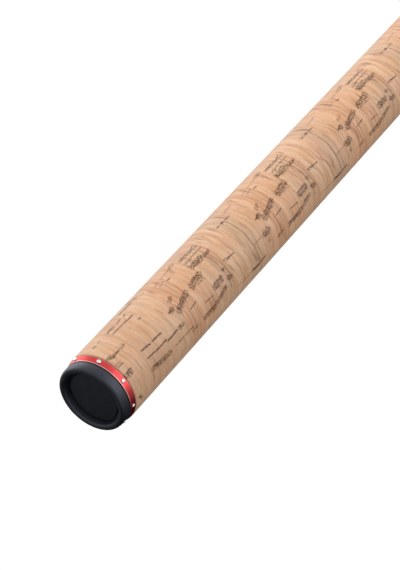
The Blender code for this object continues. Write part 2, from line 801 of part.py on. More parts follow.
def build_guide(index, x, radius, parent):
    """A double-foot guide: hoop, four legs and two feet in one frame, a ceramic ring and two foot wraps."""
    name = f"guide_{index}"
    local_x = x - parent.matrix_world.translation.x
    blank = rod_radius(x)
    height = blank + radius + GUIDE_RISE
    reach = radius + GUIDE_REACH
    under = blank + FERRULE_GAP
    hoop = build_hoop(name + "_frame", radius, 0.0, height)
    frame = piece(name + "_frame", hoop, FRAME_STEEL, parent, (local_x, 0.0, 0.0))
    middle = radius - HOOP_THICKNESS + LEG_RADIUS + GLUE_GAP
    top_across = middle * math.sin(LEG_ANGLE)
    top_height = height - middle * math.cos(LEG_ANGLE)
    for side in (-1, 1):
        foot = foot_wedge(f"{name}_foot_{side}", side, reach, under, 0.0)
        combine(frame, helper(f"{name}_foot_{side}", foot, frame), "UNION")
        for hand in (-1, 1):
            top = (side * LEG_TOP_SPREAD, hand * top_across, top_height)
            bottom = (side * (reach + LEG_RADIUS), hand * LEG_FOOT_SPREAD, under + LEG_RADIUS)
            leg = bar(f"{name}_leg_{side}_{hand}", top, bottom, LEG_RADIUS)
            combine(frame, helper(f"{name}_leg_{side}_{hand}", leg, frame), "UNION")
    build_ceramic(name + "_ceramic", radius, height, parent, local_x)
    for side, label in ((-1, "rear"), (1, "front")):
        build_foot_wrap(f"{name}_{label}_wrap", side, reach, x, local_x, under, parent)


def build_foot_wrap(name, side, reach, x, local_x, under, parent):
    """Thread and varnish round one foot and the blank, thicker on the foot's side."""
    near = reach + 2 * LEG_RADIUS + WRAP_FROM_LEG
    far = reach + FOOT_LENGTH + WRAP_PAST_FOOT
    stations = [near, near + WRAP_END_TAPER, far - 2 * WRAP_END_TAPER, far]
    shoulder = WRAP_THICKNESS * WRAP_SHOULDER_SHARE
    thicknesses = [shoulder, WRAP_THICKNESS, shoulder, WRAP_END_THICKNESS]
    outside = []
    inside = []
    for station, thickness in zip(stations, thicknesses):
        surface = rod_radius(x + side * station) + GLUE_GAP
        outside.append((side * station, surface + thickness))
        inside.append((side * station, surface))
    outline = outside + [inside[-1], inside[0]]
    mesh = turned(name, outline, BLANK_SIDES)
    for vertex in mesh.vertices:
        bore = rod_radius(x + vertex.co.x) + GLUE_GAP
        thickness = math.hypot(vertex.co.y, vertex.co.z) - bore
        vertex.co.z += WRAP_LIFT * max(0.0, thickness)
    wrap = piece(name, mesh, WRAP_THREAD, parent, (local_x, 0.0, 0.0))
    room = foot_wedge(name + "_room", side, reach, under, GLUE_GAP)
    combine(wrap, helper(name + "_room", room, wrap), "DIFFERENCE")


def build_tip_guide(parent):
    """End guide: a tube glued over the tip, a hoop past its end, two braces, and a thread band."""
    offset = parent.matrix_world.translation.x
    bore = TIP_END_RADIUS + GLUE_GAP * 2
    outside = bore + TIP_TUBE_WALL
    start = TIP_END - TIP_TUBE_LENGTH + TIP_TUBE_CAP
    length = TIP_TUBE_LENGTH
    seat = length - TIP_TUBE_CAP + FACE_GAP
    outline = [
        (0.0, bore),
        (0.0, outside),
        (length, outside),
        (length, 0.0),
        (seat, 0.0),
        (seat, bore),
    ]
    tube = turned("tip_frame", outline, BLANK_SIDES)
    frame = piece("tip_frame", tube, FRAME_STEEL, parent, (start - offset, 0.0, 0.0))
    hoop_x = length + TIP_HOOP_OVERHANG
    height = outside + TIP_RING_RADIUS - HOOP_THICKNESS
    hoop = build_hoop("tip_hoop", TIP_RING_RADIUS, hoop_x, height)
    combine(frame, helper("tip_hoop", hoop, frame), "UNION")
    middle = TIP_RING_RADIUS - HOOP_THICKNESS + LEG_RADIUS + GLUE_GAP
    keel_start = (length - TIP_HOOP_OVERHANG, 0.0, outside - TIP_KEEL_SINK)
    keel = bar("tip_keel", keel_start, (hoop_x, 0.0, height - middle), LEG_RADIUS)
    combine(frame, helper("tip_keel", keel, frame), "UNION")
    brace_across = middle * math.sin(TIP_BRACE_ANGLE)
    brace_height = height - middle * math.cos(TIP_BRACE_ANGLE)
    for hand in (-1, 1):
        top = (hoop_x, hand * brace_across, brace_height)
        bottom = (TIP_BRACE_START, hand * TIP_BRACE_SPREAD, outside - TIP_BRACE_SINK)
        brace = bar(f"tip_brace_{hand}", top, bottom, TIP_BRACE_RADIUS)
        combine(frame, helper(f"tip_brace_{hand}", brace, frame), "UNION")
    room_outline = [(-seat, 0.0), (-seat, bore), (seat, bore), (seat, 0.0)]
    room = turned("tip_socket", room_outline, BLANK_SIDES)
    combine(frame, helper("tip_socket", room, frame), "DIFFERENCE")
    build_ceramic("tip_ceramic", TIP_RING_RADIUS, height, parent, start - offset + hoop_x)
    wrap_start = start - FACE_GAP - TIP_WRAP_LENGTH
    build_band("tip_wrap", wrap_start, TIP_WRAP_LENGTH, tip_blank_radius, parent)


def guide_places():
    """Distances from the butt: the first guide stands before the ferrule, the rest close up to the tip."""
    place = FERRULE_START - STRIPPER_BEFORE_FERRULE
    shares = [GUIDE_SPACING_GROWTH**step for step in range(len(GUIDE_RING_RADII), 0, -1)]
    room = TIP_END - place
    places = []
    for share in shares:
        places.append(place)
        place += room * share / sum(shares)
    return places


def foregrip_radius(x):
    """Outer radius of the foregrip at a distance from the butt."""
    share = (x - FOREGRIP_START) / FOREGRIP_LENGTH
    return FOREGRIP_REAR_RADIUS + (FOREGRIP_FRONT_RADIUS - FOREGRIP_REAR_RADIUS) * share


def build_rod():
    """Builds the rod as four rigid bodies: butt section, tip section, sliding hood and lock nut."""
    butt = section("butt_section")
    tip = section("tip_section", (FERRULE_START, 0.0, 0.0), butt)
    hood_slide = section("hood_slide", (SLIDING_HOOD_MOUTH, 0.0, 0.0), butt)
    nut_turn = section("nut_turn", (NUT_START - SLIDING_HOOD_MOUTH, 0.0, 0.0), hood_slide)
    bpy.context.view_layer.update()

    build_butt_cap(butt)
    build_butt_ring(butt)
    build_grip("rear_grip", GRIP_START, REAR_GRIP_LENGTH, grip_radius, GRIP_EDGE_ROUNDING, butt, FINE_SIDES,
               CAP_SPIGOT_RADIUS)
    seat_outside = SEAT_RADIUS + HOOD_WALL
    build_check("rear_check", REAR_CHECK_START, CHECK_LENGTH, grip_radius(GRIP_END), seat_outside, butt)
    build_lower_blank(butt)
    build_seat_body(butt)
    build_arbors(butt)
    build_hood("fixed_hood", butt, FIXED_HOOD_MOUTH, 1, False)
    build_hood("sliding_hood", hood_slide, 0.0, -1, True)
    build_lock_nut(nut_turn)
    build_check("seat_check", SEAT_CHECK_START, CHECK_LENGTH, seat_outside, FOREGRIP_REAR_RADIUS, butt)
    build_grip("foregrip", FOREGRIP_START, FOREGRIP_LENGTH, foregrip_radius, FOREGRIP_ROUNDING, butt,
               PLAIN_SIDES)
    behind = FOREGRIP_FRONT_RADIUS - FOREGRIP_ROUNDING
    nose = blank_radius(FRONT_CHECK_START) + FRONT_CHECK_NOSE
    build_check("front_check", FRONT_CHECK_START, FRONT_CHECK_LENGTH, behind, nose, butt)
    build_band("trim_wrap", TRIM_WRAP_START, TRIM_WRAP_LENGTH, blank_radius, butt)
    build_tip_blank(tip)
    build_band("ferrule_wrap", FERRULE_START, FERRULE_WRAP_LENGTH, tip_blank_radius, tip)
    for index, (x, radius) in enumerate(zip(guide_places(), GUIDE_RING_RADII)):
        build_guide(index + 1, x, radius, butt if x < FERRULE_START else tip)
    build_tip_guide(tip)


clear_scene()
build_rod()
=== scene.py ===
"""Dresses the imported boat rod: fine meshes over its solids, real finishes, and a plain studio round it.

Lengths are in metres unless a name ends in _mm. +X runs from the butt to the tip, and +Z points at the
guides. Angles round the rod start at the top and grow towards -Y.
"""

import logging
import math
from collections.abc import Callable, Sequence
from dataclasses import dataclass, field
from enum import Enum

import bpy
import numpy as np
from mathutils import Matrix, Vector


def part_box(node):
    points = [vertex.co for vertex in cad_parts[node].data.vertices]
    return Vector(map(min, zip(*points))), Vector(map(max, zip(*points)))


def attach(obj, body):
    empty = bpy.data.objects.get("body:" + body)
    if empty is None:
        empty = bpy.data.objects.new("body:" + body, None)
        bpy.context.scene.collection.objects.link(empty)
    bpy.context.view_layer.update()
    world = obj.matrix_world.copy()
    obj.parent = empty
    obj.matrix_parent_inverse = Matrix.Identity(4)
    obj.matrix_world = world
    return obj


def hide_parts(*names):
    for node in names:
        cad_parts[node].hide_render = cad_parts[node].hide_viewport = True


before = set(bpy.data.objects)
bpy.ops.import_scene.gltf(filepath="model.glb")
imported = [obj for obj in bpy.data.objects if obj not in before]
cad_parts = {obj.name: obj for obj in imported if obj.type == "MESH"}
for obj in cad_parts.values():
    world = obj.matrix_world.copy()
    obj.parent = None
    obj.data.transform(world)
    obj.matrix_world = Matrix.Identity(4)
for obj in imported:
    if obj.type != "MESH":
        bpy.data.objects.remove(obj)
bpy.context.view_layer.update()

log = logging.getLogger("boat_rod")

Socket = bpy.types.NodeSocket
Tree = bpy.types.NodeTree
Place = tuple[float, float, float]

MM = 0.001

# Bodies of the CAD model that most pieces move with
BUTT_BODY = "butt_section"
TIP_BODY = "tip_section"

# Clearances and tapers that the solids were made with
GLUE_GAP = 0.00020
RUNNING_GAP = 0.00030
BLANK_BUTT_RADIUS = 0.0076
BLANK_TAPER = 0.0023
FERRULE_GAP = 0.00015
FERRULE_WALL = 0.0010

# Edges that turn more than this are drawn sharp, unless a piece says otherwise
SHARP_DEGREES = 35.0

# What the mesh says of each place on a printed sleeve, for the shader to read
LAYERS = ("ink", "pores", "stain", "growth", "lines", "warmth", "tone", "bend", "crack", "crack_gap")


# Colours and nodes


def linear(hex_colour: str) -> tuple[float, float, float, float]:
    """Turns an sRGB colour such as "#C8A078" into the linear RGBA that Blender's sockets take.

    Args:
        hex_colour: Six hex digits after a hash sign.

    Returns:
        Linear red, green and blue, and an alpha of 1.
    """
    channels = [int(hex_colour[start : start + 2], 16) / 255 for start in (1, 3, 5)]
    red, green, blue = (c / 12.92 if c <= 0.04045 else ((c + 0.055) / 1.055) ** 2.4 for c in channels)
    return (red, green, blue, 1.0)


def fill(tree: Tree, node: bpy.types.Node, sockets: dict | Sequence) -> None:
    """Links or sets a node's inputs.

    Args:
        tree: The node tree.
        node: The node.
        sockets: Input name or number, and the value or the output socket that goes into it; or the values
            alone, for the first inputs in order.
    """
    for socket, value in sockets.items() if isinstance(sockets, dict) else enumerate(sockets):
        if isinstance(value, Socket):
            tree.links.new(value, node.inputs[socket])
        else:
            node.inputs[socket].default_value = value


def add_node(tree: Tree, kind: str, sockets: dict | Sequence, output: int | str = 0,
             **settings: object) -> Socket:
    """Adds one node, sets it up and links it.

    Args:
        tree: The node tree.
        kind: The node's type name, without the word that all of them start with.
        sockets: What goes into its inputs, as fill() takes it.
        output: Name or number of the output to hand back.
        **settings: Properties of the node itself.

    Returns:
        The chosen output, or None if the node has none.
    """
    node = tree.nodes.new("ShaderNode" + kind)
    for name, value in settings.items():
        setattr(node, name, value)
    fill(tree, node, sockets)
    return node.outputs[output] if len(node.outputs) else None


def grain_place(tree: Tree, along_mm: float, across_mm: float) -> Socket:
    """Coordinates fixed to the piece, in which one unit is one grain of a pattern.

    Args:
        tree: The node tree.
        along_mm: Length of a grain along the rod.
        across_mm: Its size across and round the rod.

    Returns:
        The scaled coordinates.
    """
    place = add_node(tree, "TexCoord", {}, "Object")
    scale = (1 / (along_mm * MM), 1 / (across_mm * MM), 1 / (across_mm * MM))
    return add_node(tree, "Mapping", {"Vector": place, "Scale": scale})


def cloudy(tree: Tree, along_mm: float, across_mm: float, detail: float = 2.0,
           roughness: float = 0.5) -> Socket:
    """A cloudy pattern fixed to the piece, whose lumps have a real size.

    Args:
        tree: The node tree.
        along_mm: Length of a lump along the rod.
        across_mm: Its size across and round the rod.
        detail: How many finer layers it has.
        roughness: How strong they are.

    Returns:
        The pattern's height, from 0 to 1.
    """
    place = grain_place(tree, along_mm, across_mm)
    sockets = {"Vector": place, "Scale": 1.0, "Detail": detail, "Roughness": roughness}
    return add_node(tree, "TexNoise", sockets)


# Finishes


@dataclass(frozen=True)
class Finish:
    """One real material and how its surface was made."""

    name: str
    colour: str
    roughness: float
    metallic: float = 0.0

    def make(self) -> bpy.types.Material:
        """Makes the material the first time it is asked for.

        Returns:
            The material.
        """
        found = bpy.data.materials.get(self.name)
        if found:
            return found
        material = bpy.data.materials.new(self.name)
        material.use_nodes = True
        tree = material.node_tree
        shader = tree.nodes["Principled BSDF"]
        base = {"Base Color": linear(self.colour), "Roughness": self.roughness, "Metallic": self.metallic}
        fill(tree, shader, base)
        fill(tree, shader, self.detail(tree))
        return material

    def detail(self, tree: Tree) -> dict:
        """Adds what tells this surface from plain paint, and says what goes into the shader's inputs."""
        return {}


@dataclass(frozen=True)
class PrintedCork(Finish):
    """Heat-shrunk sleeve with a printed cork grain under a satin varnish.

    The mesh says where each mark and growth line lies; the shader draws their fine edges, sized from real
    cork: lines 0.5 to 2 mm apart that run round the grip, and pores about 1.2 mm across with thin dark walls.
    """

    pale: str = "#D6B290"
    warm: str = "#CB9269"
    pink: str = "#C89D82"
    growth: str = "#8D5A38"
    stain: str = "#704C32"
    ink: str = "#401F08"
    varnish: float = 0.3
    varnish_roughness: float = 0.35
    haze: float = 0.42
    haze_roughness: float = 0.45
    haze_colour: str = "#FFE6D0"

    def detail(self, tree: Tree) -> dict:
        """Layers the print: tint, growth lines, fibres, stains and the dark marks on top.

        Args:
            tree: The material's nodes.

        Returns:
            What goes into the shader's inputs.
        """
        layers = {name: add_node(tree, "Attribute", {}, "Fac", attribute_name=name) for name in LAYERS}
        crumbs = cloudy(tree, 0.42, 0.42, 2.0, 0.6)
        crumb_tone = add_node(tree, "MapRange", (crumbs, 0.3, 0.7, 0.92, 1.06))
        tone = add_node(tree, "Math", (layers["tone"], crumb_tone), operation="MULTIPLY")
        grain = self.grain(tree, layers)
        toned = add_node(tree, "VectorMath", {0: grain, "Scale": tone}, operation="SCALE")
        for share, colour in ((layers["stain"], self.stain), (self.marks(tree, layers, crumbs), self.ink)):
            toned = add_node(tree, "Mix", {0: share, 6: toned, 7: linear(colour)}, 2, data_type="RGBA")
        bump = add_node(tree, "Bump", {"Strength": 0.35, "Distance": 0.04 * MM, "Height": crumbs})
        return {
            "Base Color": toned,
            "Normal": bump,
            "Specular IOR Level": 0.2,
            "Coat Weight": self.varnish,
            "Coat Roughness": self.varnish_roughness,
            "Sheen Weight": self.haze,
            "Sheen Roughness": self.haze_roughness,
            "Sheen Tint": linear(self.haze_colour),
        }

    def grain(self, tree: Tree, layers: dict[str, Socket]) -> Socket:
        """Draws the cork without its dark marks: growth lines, pink patches, warmth and fibres.

        Args:
            tree: The material's nodes.
            layers: What the mesh says of each place.

        Returns:
            The cork's colour.
        """
        along = add_node(tree, "CombineXYZ", (layers["bend"],))
        bent = add_node(tree, "VectorMath", (grain_place(tree, 1.0, 1.0), along), operation="ADD")
        depth, strong, hairs = (
            add_node(tree, "MapRange", (self.lines(tree, bent, *pattern), low, high, 0.0, most))
            for pattern, low, high, most in (
                ((1.5, 20.0, 2.0), 0.36, 0.66, 1.0),
                ((1.9, 14.0, 1.0), 0.60, 0.68, 1.0),
                ((0.6, 8.0, 2.0), 0.58, 0.70, 0.34),
            )
        )
        patches = add_node(tree, "MapRange", (cloudy(tree, 6.0, 9.0, 3.0, 0.55), 0.35, 0.7, 0.0, 0.55))
        flecks = add_node(tree, "MapRange", (cloudy(tree, 2.2, 0.45), 0.62, 0.76, 0.0, 0.36))
        strong = add_node(tree, "Math", (strong, layers["lines"]), operation="MULTIPLY")
        colour = linear(self.pale)
        for share, over in (
            (depth, self.colour),
            (patches, self.pink),
            (layers["warmth"], self.warm),
            (strong, self.growth),
            (hairs, self.growth),
            (flecks, self.growth),
            (layers["growth"], self.growth),
        ):
            colour = add_node(tree, "Mix", {0: share, 6: colour, 7: linear(over)}, 2, data_type="RGBA")
        return colour

    @staticmethod
    def lines(tree: Tree, bent: Socket, pitch_mm: float, run_mm: float, detail: float) -> Socket:
        """Draws growth lines round the grip, drawn out from noise.

        Args:
            tree: The material's nodes.
            bent: Millimetres along the grip, as its growth lines bend, and across it.
            pitch_mm: Distance from line to line.
            run_mm: How far a line runs.
            detail: How many finer layers it has.

        Returns:
            The lines' height, from 0 to 1.
        """
        place = add_node(tree, "Mapping", {"Vector": bent, "Scale": (1 / pitch_mm, 1 / run_mm, 1 / run_mm)})
        sockets = {"Vector": place, "Scale": 1.0, "Detail": detail, "Roughness": 0.6}
        return add_node(tree, "TexNoise", sockets)

    @staticmethod
    def marks(tree: Tree, layers: dict[str, Socket], crumbs: Socket) -> Socket:
        """Draws the dark print: strokes, cracks, and pores with an outline and walls inside it.

        Args:
            tree: The material's nodes.
            layers: What the mesh says of each place.
            crumbs: Fine noise that tears the strokes' edges.

        Returns:
            How dark the print is, from 0 to 1.
        """
        rough = add_node(tree, "Math", (crumbs, 1.5, -0.75), operation="MULTIPLY_ADD")
        torn = add_node(tree, "Math", (layers["ink"], rough, layers["ink"]), operation="MULTIPLY_ADD")
        strokes = add_node(tree, "MapRange", (torn, 0.28, 0.56, 0.0, 0.95))
        lumps = add_node(tree, "Math", (cloudy(tree, 1.3, 0.9, 2.0, 0.6), 0.5), operation="SUBTRACT")
        shaped = add_node(tree, "Math", (lumps, 1.5, layers["pores"]), operation="MULTIPLY_ADD")
        cell_place = {"Vector": grain_place(tree, 1.25, 1.1), "Scale": 1.0}
        cells = add_node(tree, "TexVoronoi", cell_place, "Distance", feature="DISTANCE_TO_EDGE")
        worn = add_node(tree, "MapRange", (cloudy(tree, 0.8, 0.7, 1.0), 0.38, 0.54, 0.25, 1.0))
        walls = add_node(tree, "MapRange", (cells, 0.07, 0.15, 1.0, 0.03))
        inside = add_node(tree, "MapRange", (shaped, 0.42, 0.54, 0.0, 1.0))
        walls = add_node(tree, "Math", (walls, worn), operation="MULTIPLY")
        edge = add_node(tree, "Math", (shaped, 0.5), operation="SUBTRACT")
        edge = add_node(tree, "Math", (edge,), operation="ABSOLUTE")
        edge = add_node(tree, "MapRange", (edge, 0.05, 0.14, 0.85, 0.0))
        gap = add_node(tree, "Math", (layers["crack_gap"],), operation="ABSOLUTE")
        thin = add_node(tree, "MapRange", (gap, 0.13, 0.27, 1.0, 0.0))
        darkest = strokes
        for share, limit in ((walls, inside), (edge, worn), (thin, layers["crack"])):
            drawn = add_node(tree, "Math", (share, limit), operation="MULTIPLY")
            darkest = add_node(tree, "Math", (darkest, drawn), operation="MAXIMUM")
        return darkest


@dataclass(frozen=True)
class AnodisedAluminium(Finish):
    """Turned aluminium, dyed in the anodising bath: faint tool lines run round it under a satin colour."""

    def detail(self, tree: Tree) -> dict:
        """Adds the tool's lines, 0.1 mm apart, and a slow drift in the dye.

        Args:
            tree: The material's nodes.

        Returns:
            What goes into the shader's inputs.
        """
        lines = cloudy(tree, 0.10, 14.0)
        rough = add_node(tree, "MapRange", (lines, 0.3, 0.7, self.roughness * 0.8, self.roughness * 1.25))
        shade = add_node(tree, "MapRange", (cloudy(tree, 5.0, 5.0), 0.3, 0.7, 0.88, 1.06))
        dyed = add_node(tree, "VectorMath", {0: linear(self.colour)[:3], "Scale": shade}, operation="SCALE")
        bump = add_node(tree, "Bump", {"Strength": 0.25, "Distance": 0.01 * MM, "Height": lines})
        return {"Base Color": dyed, "Roughness": rough, "Normal": bump}


@dataclass(frozen=True)
class PlainMetal(Finish):
    """Bright metal, such as a chromed rivet head or stainless wire, with faint handling marks."""

    def detail(self, tree: Tree) -> dict:
        """Breaks up the gloss with soft smears a couple of millimetres long.

        Args:
            tree: The material's nodes.

        Returns:
            What goes into the shader's inputs.
        """
        smears = cloudy(tree, 1.5, 0.8, 3.0, 0.6)
        rough = add_node(tree, "MapRange", (smears, 0.3, 0.7, self.roughness * 0.7, self.roughness * 1.4))
        return {"Roughness": rough}


@dataclass(frozen=True)
class MouldedRubber(Finish):
    """Rubber from a fine-blasted mould: a dry, even grain that softens every highlight."""

    grain_mm: float = 0.22
    bloom: str = "#2C2E34"
    gloss: float = 0.28
    sky: str = "#DDE3F6"

    def detail(self, tree: Tree) -> dict:
        """Adds the mould's grain and the grey bloom that handling leaves on rubber.

        Args:
            tree: The material's nodes.

        Returns:
            What goes into the shader's inputs.
        """
        grain = cloudy(tree, self.grain_mm, self.grain_mm)
        share = add_node(tree, "MapRange", (cloudy(tree, 4.0, 4.0, 3.0, 0.6), 0.4, 0.75, 0.0, 0.35))
        colours = {0: share, 6: linear(self.colour), 7: linear(self.bloom)}
        bloomed = add_node(tree, "Mix", colours, 2, data_type="RGBA")
        bump = add_node(tree, "Bump", {"Strength": 0.5, "Distance": 0.05 * MM, "Height": grain})
        gloss = {"Specular IOR Level": self.gloss, "Specular Tint": linear(self.sky)}
        return {"Base Color": bloomed, "Normal": bump, **gloss}


@dataclass(frozen=True)
class FoamOrFibre(Finish):
    """EVA foam or compressed fibre: open cells or short fibres, with no gloss at all."""

    grain_mm: float = 0.6
    dark: str = "#101011"

    def detail(self, tree: Tree) -> dict:
        """Draws the cells as a darker web and presses them into the surface.

        Args:
            tree: The material's nodes.

        Returns:
            What goes into the shader's inputs.
        """
        place = grain_place(tree, self.grain_mm, self.grain_mm)
        cells = add_node(tree, "TexVoronoi", {"Vector": place, "Scale": 1.0}, "Distance")
        colours = {0: cells, 6: linear(self.colour), 7: linear(self.dark)}
        mixed = add_node(tree, "Mix", colours, 2, data_type="RGBA")
        bump = add_node(tree, "Bump", {"Strength": 0.6, "Distance": 0.1 * MM, "Height": cells})
        return {"Base Color": mixed, "Normal": bump}


@dataclass(frozen=True)
class LacqueredFibre(Finish):
    """Painted and lacquered glass-fibre tube: a deep gloss over paint with a fine metallic fleck."""

    fleck: str = "#4A2A2E"

    def detail(self, tree: Tree) -> dict:
        """Adds the fleck, 0.2 mm across, and the slight swell that the lacquer has along the tube.

        Args:
            tree: The material's nodes.

        Returns:
            What goes into the shader's inputs.
        """
        share = add_node(tree, "MapRange", (cloudy(tree, 0.2, 0.2, 1.0), 0.58, 0.72, 0.0, 0.7))
        colours = {0: share, 6: linear(self.colour), 7: linear(self.fleck)}
        flecked = add_node(tree, "Mix", colours, 2, data_type="RGBA")
        swell = cloudy(tree, 9.0, 4.0, 1.0)
        bump = add_node(tree, "Bump", {"Strength": 0.2, "Distance": 0.1 * MM, "Height": swell})
        return {"Base Color": flecked, "Normal": bump, "Coat Weight": 1.0, "Coat Roughness": 0.05}


@dataclass(frozen=True)
class VarnishedThread(Finish):
    """Nylon thread wound close and flooded with varnish: fine turns show through a clear gloss, each with a
    painted highlight along its crown.
    """

    # Lighter red for the painted highlight along the crown of each turn
    painted_highlight: str = "#A8141C"
    turn_mm: float = 0.35

    def detail(self, tree: Tree) -> dict:
        """Draws the turns as lighter bands, a painted highlight along each turn's crown, wider than a real
        0.2 mm thread so that they show, and the clear coat over them.

        Args:
            tree: The material's nodes.

        Returns:
            What goes into the shader's inputs.
        """
        bands = {"wave_type": "BANDS", "bands_direction": "X", "wave_profile": "SIN"}
        place = grain_place(tree, self.turn_mm, 1.0e4)
        sockets = {"Vector": place, "Scale": 1 / math.pi, "Distortion": 0.0}
        turns = add_node(tree, "TexWave", sockets, "Fac", **bands)
        share = add_node(tree, "Math", (turns, cloudy(tree, self.turn_mm, 3.0)), operation="MULTIPLY")
        # Mixes in the lighter red along each turn: a painted highlight, darker between the turns
        colours = {0: share, 6: linear(self.colour), 7: linear(self.painted_highlight)}
        wound = add_node(tree, "Mix", colours, 2, data_type="RGBA")
        return {"Base Color": wound, "Coat Weight": 1.0, "Coat Roughness": 0.04}


# Printed shrink sleeve on both grips: a pale, satin cork grain with dark pores that lie flat in its surface
CORK = PrintedCork("printed_cork_sleeve", "#C49B79", 0.60)
# Turned aluminium, anodised red, on the butt ring, the trim rings and the lock nut: a satin, coloured shine
RED = AnodisedAluminium("red_anodised_aluminium", "#CE4647", 0.36, 1.0)
# The same aluminium where the last cut took the dye off, which leaves a bright line
CUT_EDGE = PlainMetal("bright_cut_aluminium", "#DCB4B0", 0.34, 1.0)
# Chromed steel, pressed and polished, on the rivets: small sharp highlights
CHROME = PlainMetal("chromed_rivet", "#DADADC", 0.12, 1.0)
# Soft rubber of the butt cap, moulded: a black that catches wide, dull highlights
RUBBER = MouldedRubber("soft_black_rubber", "#141519", 0.46, bloom="#2C2E37", gloss=0.62)
# Rubber cushions in the hoods, moulded thin: flat black with hardly a highlight
CUSHION = MouldedRubber("hood_cushion_rubber", "#1C1C1E", 0.75, grain_mm=0.3)
# EVA foam under the printed sleeve, cut from a block: matt, with its cells open
EVA = FoamOrFibre("eva_foam_core", "#262628", 0.95)
# Fibre board, pressed and turned, in the rings and the plug that centre the blank: a matt brown speckle
FIBRE = FoamOrFibre("compressed_fibre", "#A98B62", 0.9, grain_mm=0.4, dark="#6E5536")
# Glass-fibre tube, painted near black and lacquered: long clean highlights over a faint red fleck
LACQUER = LacqueredFibre("lacquered_blank", "#141113", 0.22)
# Glass-filled nylon, moulded, in the reel seat's barrel: dark grey with a fine, even grain
NYLON = MouldedRubber("glass_filled_nylon", "#232327", 0.42, grain_mm=0.35, bloom="#34353B")
# Aluminium, anodised dark grey, in the hoods: a satin metal with soft edges of light
GUNMETAL = AnodisedAluminium("gunmetal_anodised_hood", "#46474D", 0.26, 1.0)
# Stainless steel wire of the guides, bent and blackened against glare: a dim metal shine
SMOKED_STEEL = PlainMetal("smoked_steel_frame", "#6F7076", 0.22, 1.0)
# Zirconia, fired and polished, in the guides' rings: a hard dark gloss
ZIRCONIA = LacqueredFibre("polished_zirconia", "#2A2B31", 0.10, fleck="#3A3C44")
# Nylon thread, wound close and varnished: dark red turns under a clear gloss, with a painted highlight along
# each turn
THREAD = VarnishedThread("varnished_red_thread", "#4E080D", 0.35)


# Meshes


def add_object(name: str, points: list, faces: list,
               sharp_degrees: float = SHARP_DEGREES) -> bpy.types.Object:
    """Makes a mesh object with smooth shading up to an angle, and links it to the scene.

    Args:
        name: The piece's name.
        points: Corner places.
        faces: Each face's corner numbers.
        sharp_degrees: Edges that turn more than this are drawn sharp.

    Returns:
        The new object.
    """
    mesh = bpy.data.meshes.new(name)
    mesh.from_pydata(points, [], faces)
    mesh.shade_smooth()
    mesh.set_sharp_from_angle(angle=math.radians(sharp_degrees))
    obj = bpy.data.objects.new(name, mesh)
    bpy.context.scene.collection.objects.link(obj)
    return obj


def solid(name: str, points: np.ndarray, faces: np.ndarray,
          sharp_degrees: float = SHARP_DEGREES) -> bpy.types.Object:
    """Makes an object of closed shells, with its faces turned outwards.

    Args:
        name: The piece's name.
        points: Corner places, one row each.
        faces: Quads as rows of four corner numbers; a quad with two equal corners becomes a triangle.
        sharp_degrees: Edges that turn more than this are drawn sharp.

    Returns:
        The new object.
    """
    a, b, c, d = (points[faces[:, corner]] for corner in range(4))
    if (a * (np.cross(b, c) + np.cross(c, d))).sum() < 0:
        faces = faces[:, ::-1]
    welded, index = np.unique(np.round(points, 9), axis=0, return_inverse=True)
    if len(welded) == len(points):
        return add_object(name, points.tolist(), faces.tolist(), sharp_degrees)
    rows = [list(dict.fromkeys(row)) for row in index.reshape(-1)[faces].tolist()]
    return add_object(name, welded.tolist(), [row for row in rows if len(row) > 2], sharp_degrees)


def ring_faces(rows: int, columns: int, closed_rows: bool) -> np.ndarray:
    """Lists the quads of a grid whose columns close on themselves, and whose rows may.

    Args:
        rows: Rows of points.
        columns: Points in a row.
        closed_rows: Whether the last row joins the first.

    Returns:
        Four point numbers for each quad.
    """
    last = rows if closed_rows else rows - 1
    row, column = np.meshgrid(np.arange(last), np.arange(columns), indexing="ij")
    after = (column + 1) % columns
    here = row * columns
    below = (row + 1) % rows * columns
    corners = (here + column, here + after, below + after, below + column)
    return np.stack([corner.reshape(-1) for corner in corners], axis=1)


def even_angles(count: int) -> np.ndarray:
    """Angles evenly spaced round the rod, in radians."""
    return np.arange(count) * 2 * math.pi / count


def turned(x: np.ndarray, radius: np.ndarray, angles: np.ndarray, height: float = 0.0) -> np.ndarray:
    """Places at a distance from an axis along X, row by row along it.

    Args:
        x: Place of each row, as a column.
        radius: Distance from the axis, one for each row or one for each place.
        angles: Angle of each column.
        height: The axis's height over the rod's.

    Returns:
        The places, one row each.
    """
    y = -radius * np.sin(angles)
    z = radius * np.cos(angles) + height
    return np.stack([np.broadcast_to(x, y.shape), y, z], axis=2).reshape(-1, 3)


def lathe_points(outline: Sequence, angles: np.ndarray, height: float = 0.0) -> np.ndarray:
    """Turns an outline's (x, radius) rows to each angle, about an axis at a height over the rod's."""
    section = np.array(outline)
    return turned(section[:, :1], section[:, 1:2], angles, height)


def lathe(name: str, outline: Sequence, sides: int, height: float = 0.0,
          sharp_degrees: float = SHARP_DEGREES) -> bpy.types.Object:
    """Turns a closed (x, radius) outline about an axis along X.

    Args:
        name: The piece's name.
        outline: Corners of the section; it closes on itself.
        sides: Facets round the piece.
        height: The axis's height over the rod's.
        sharp_degrees: Edges that turn more than this are drawn sharp.

    Returns:
        The turned piece.
    """
    points = lathe_points(outline, even_angles(sides), height)
    return solid(name, points, ring_faces(len(outline), sides, True), sharp_degrees)


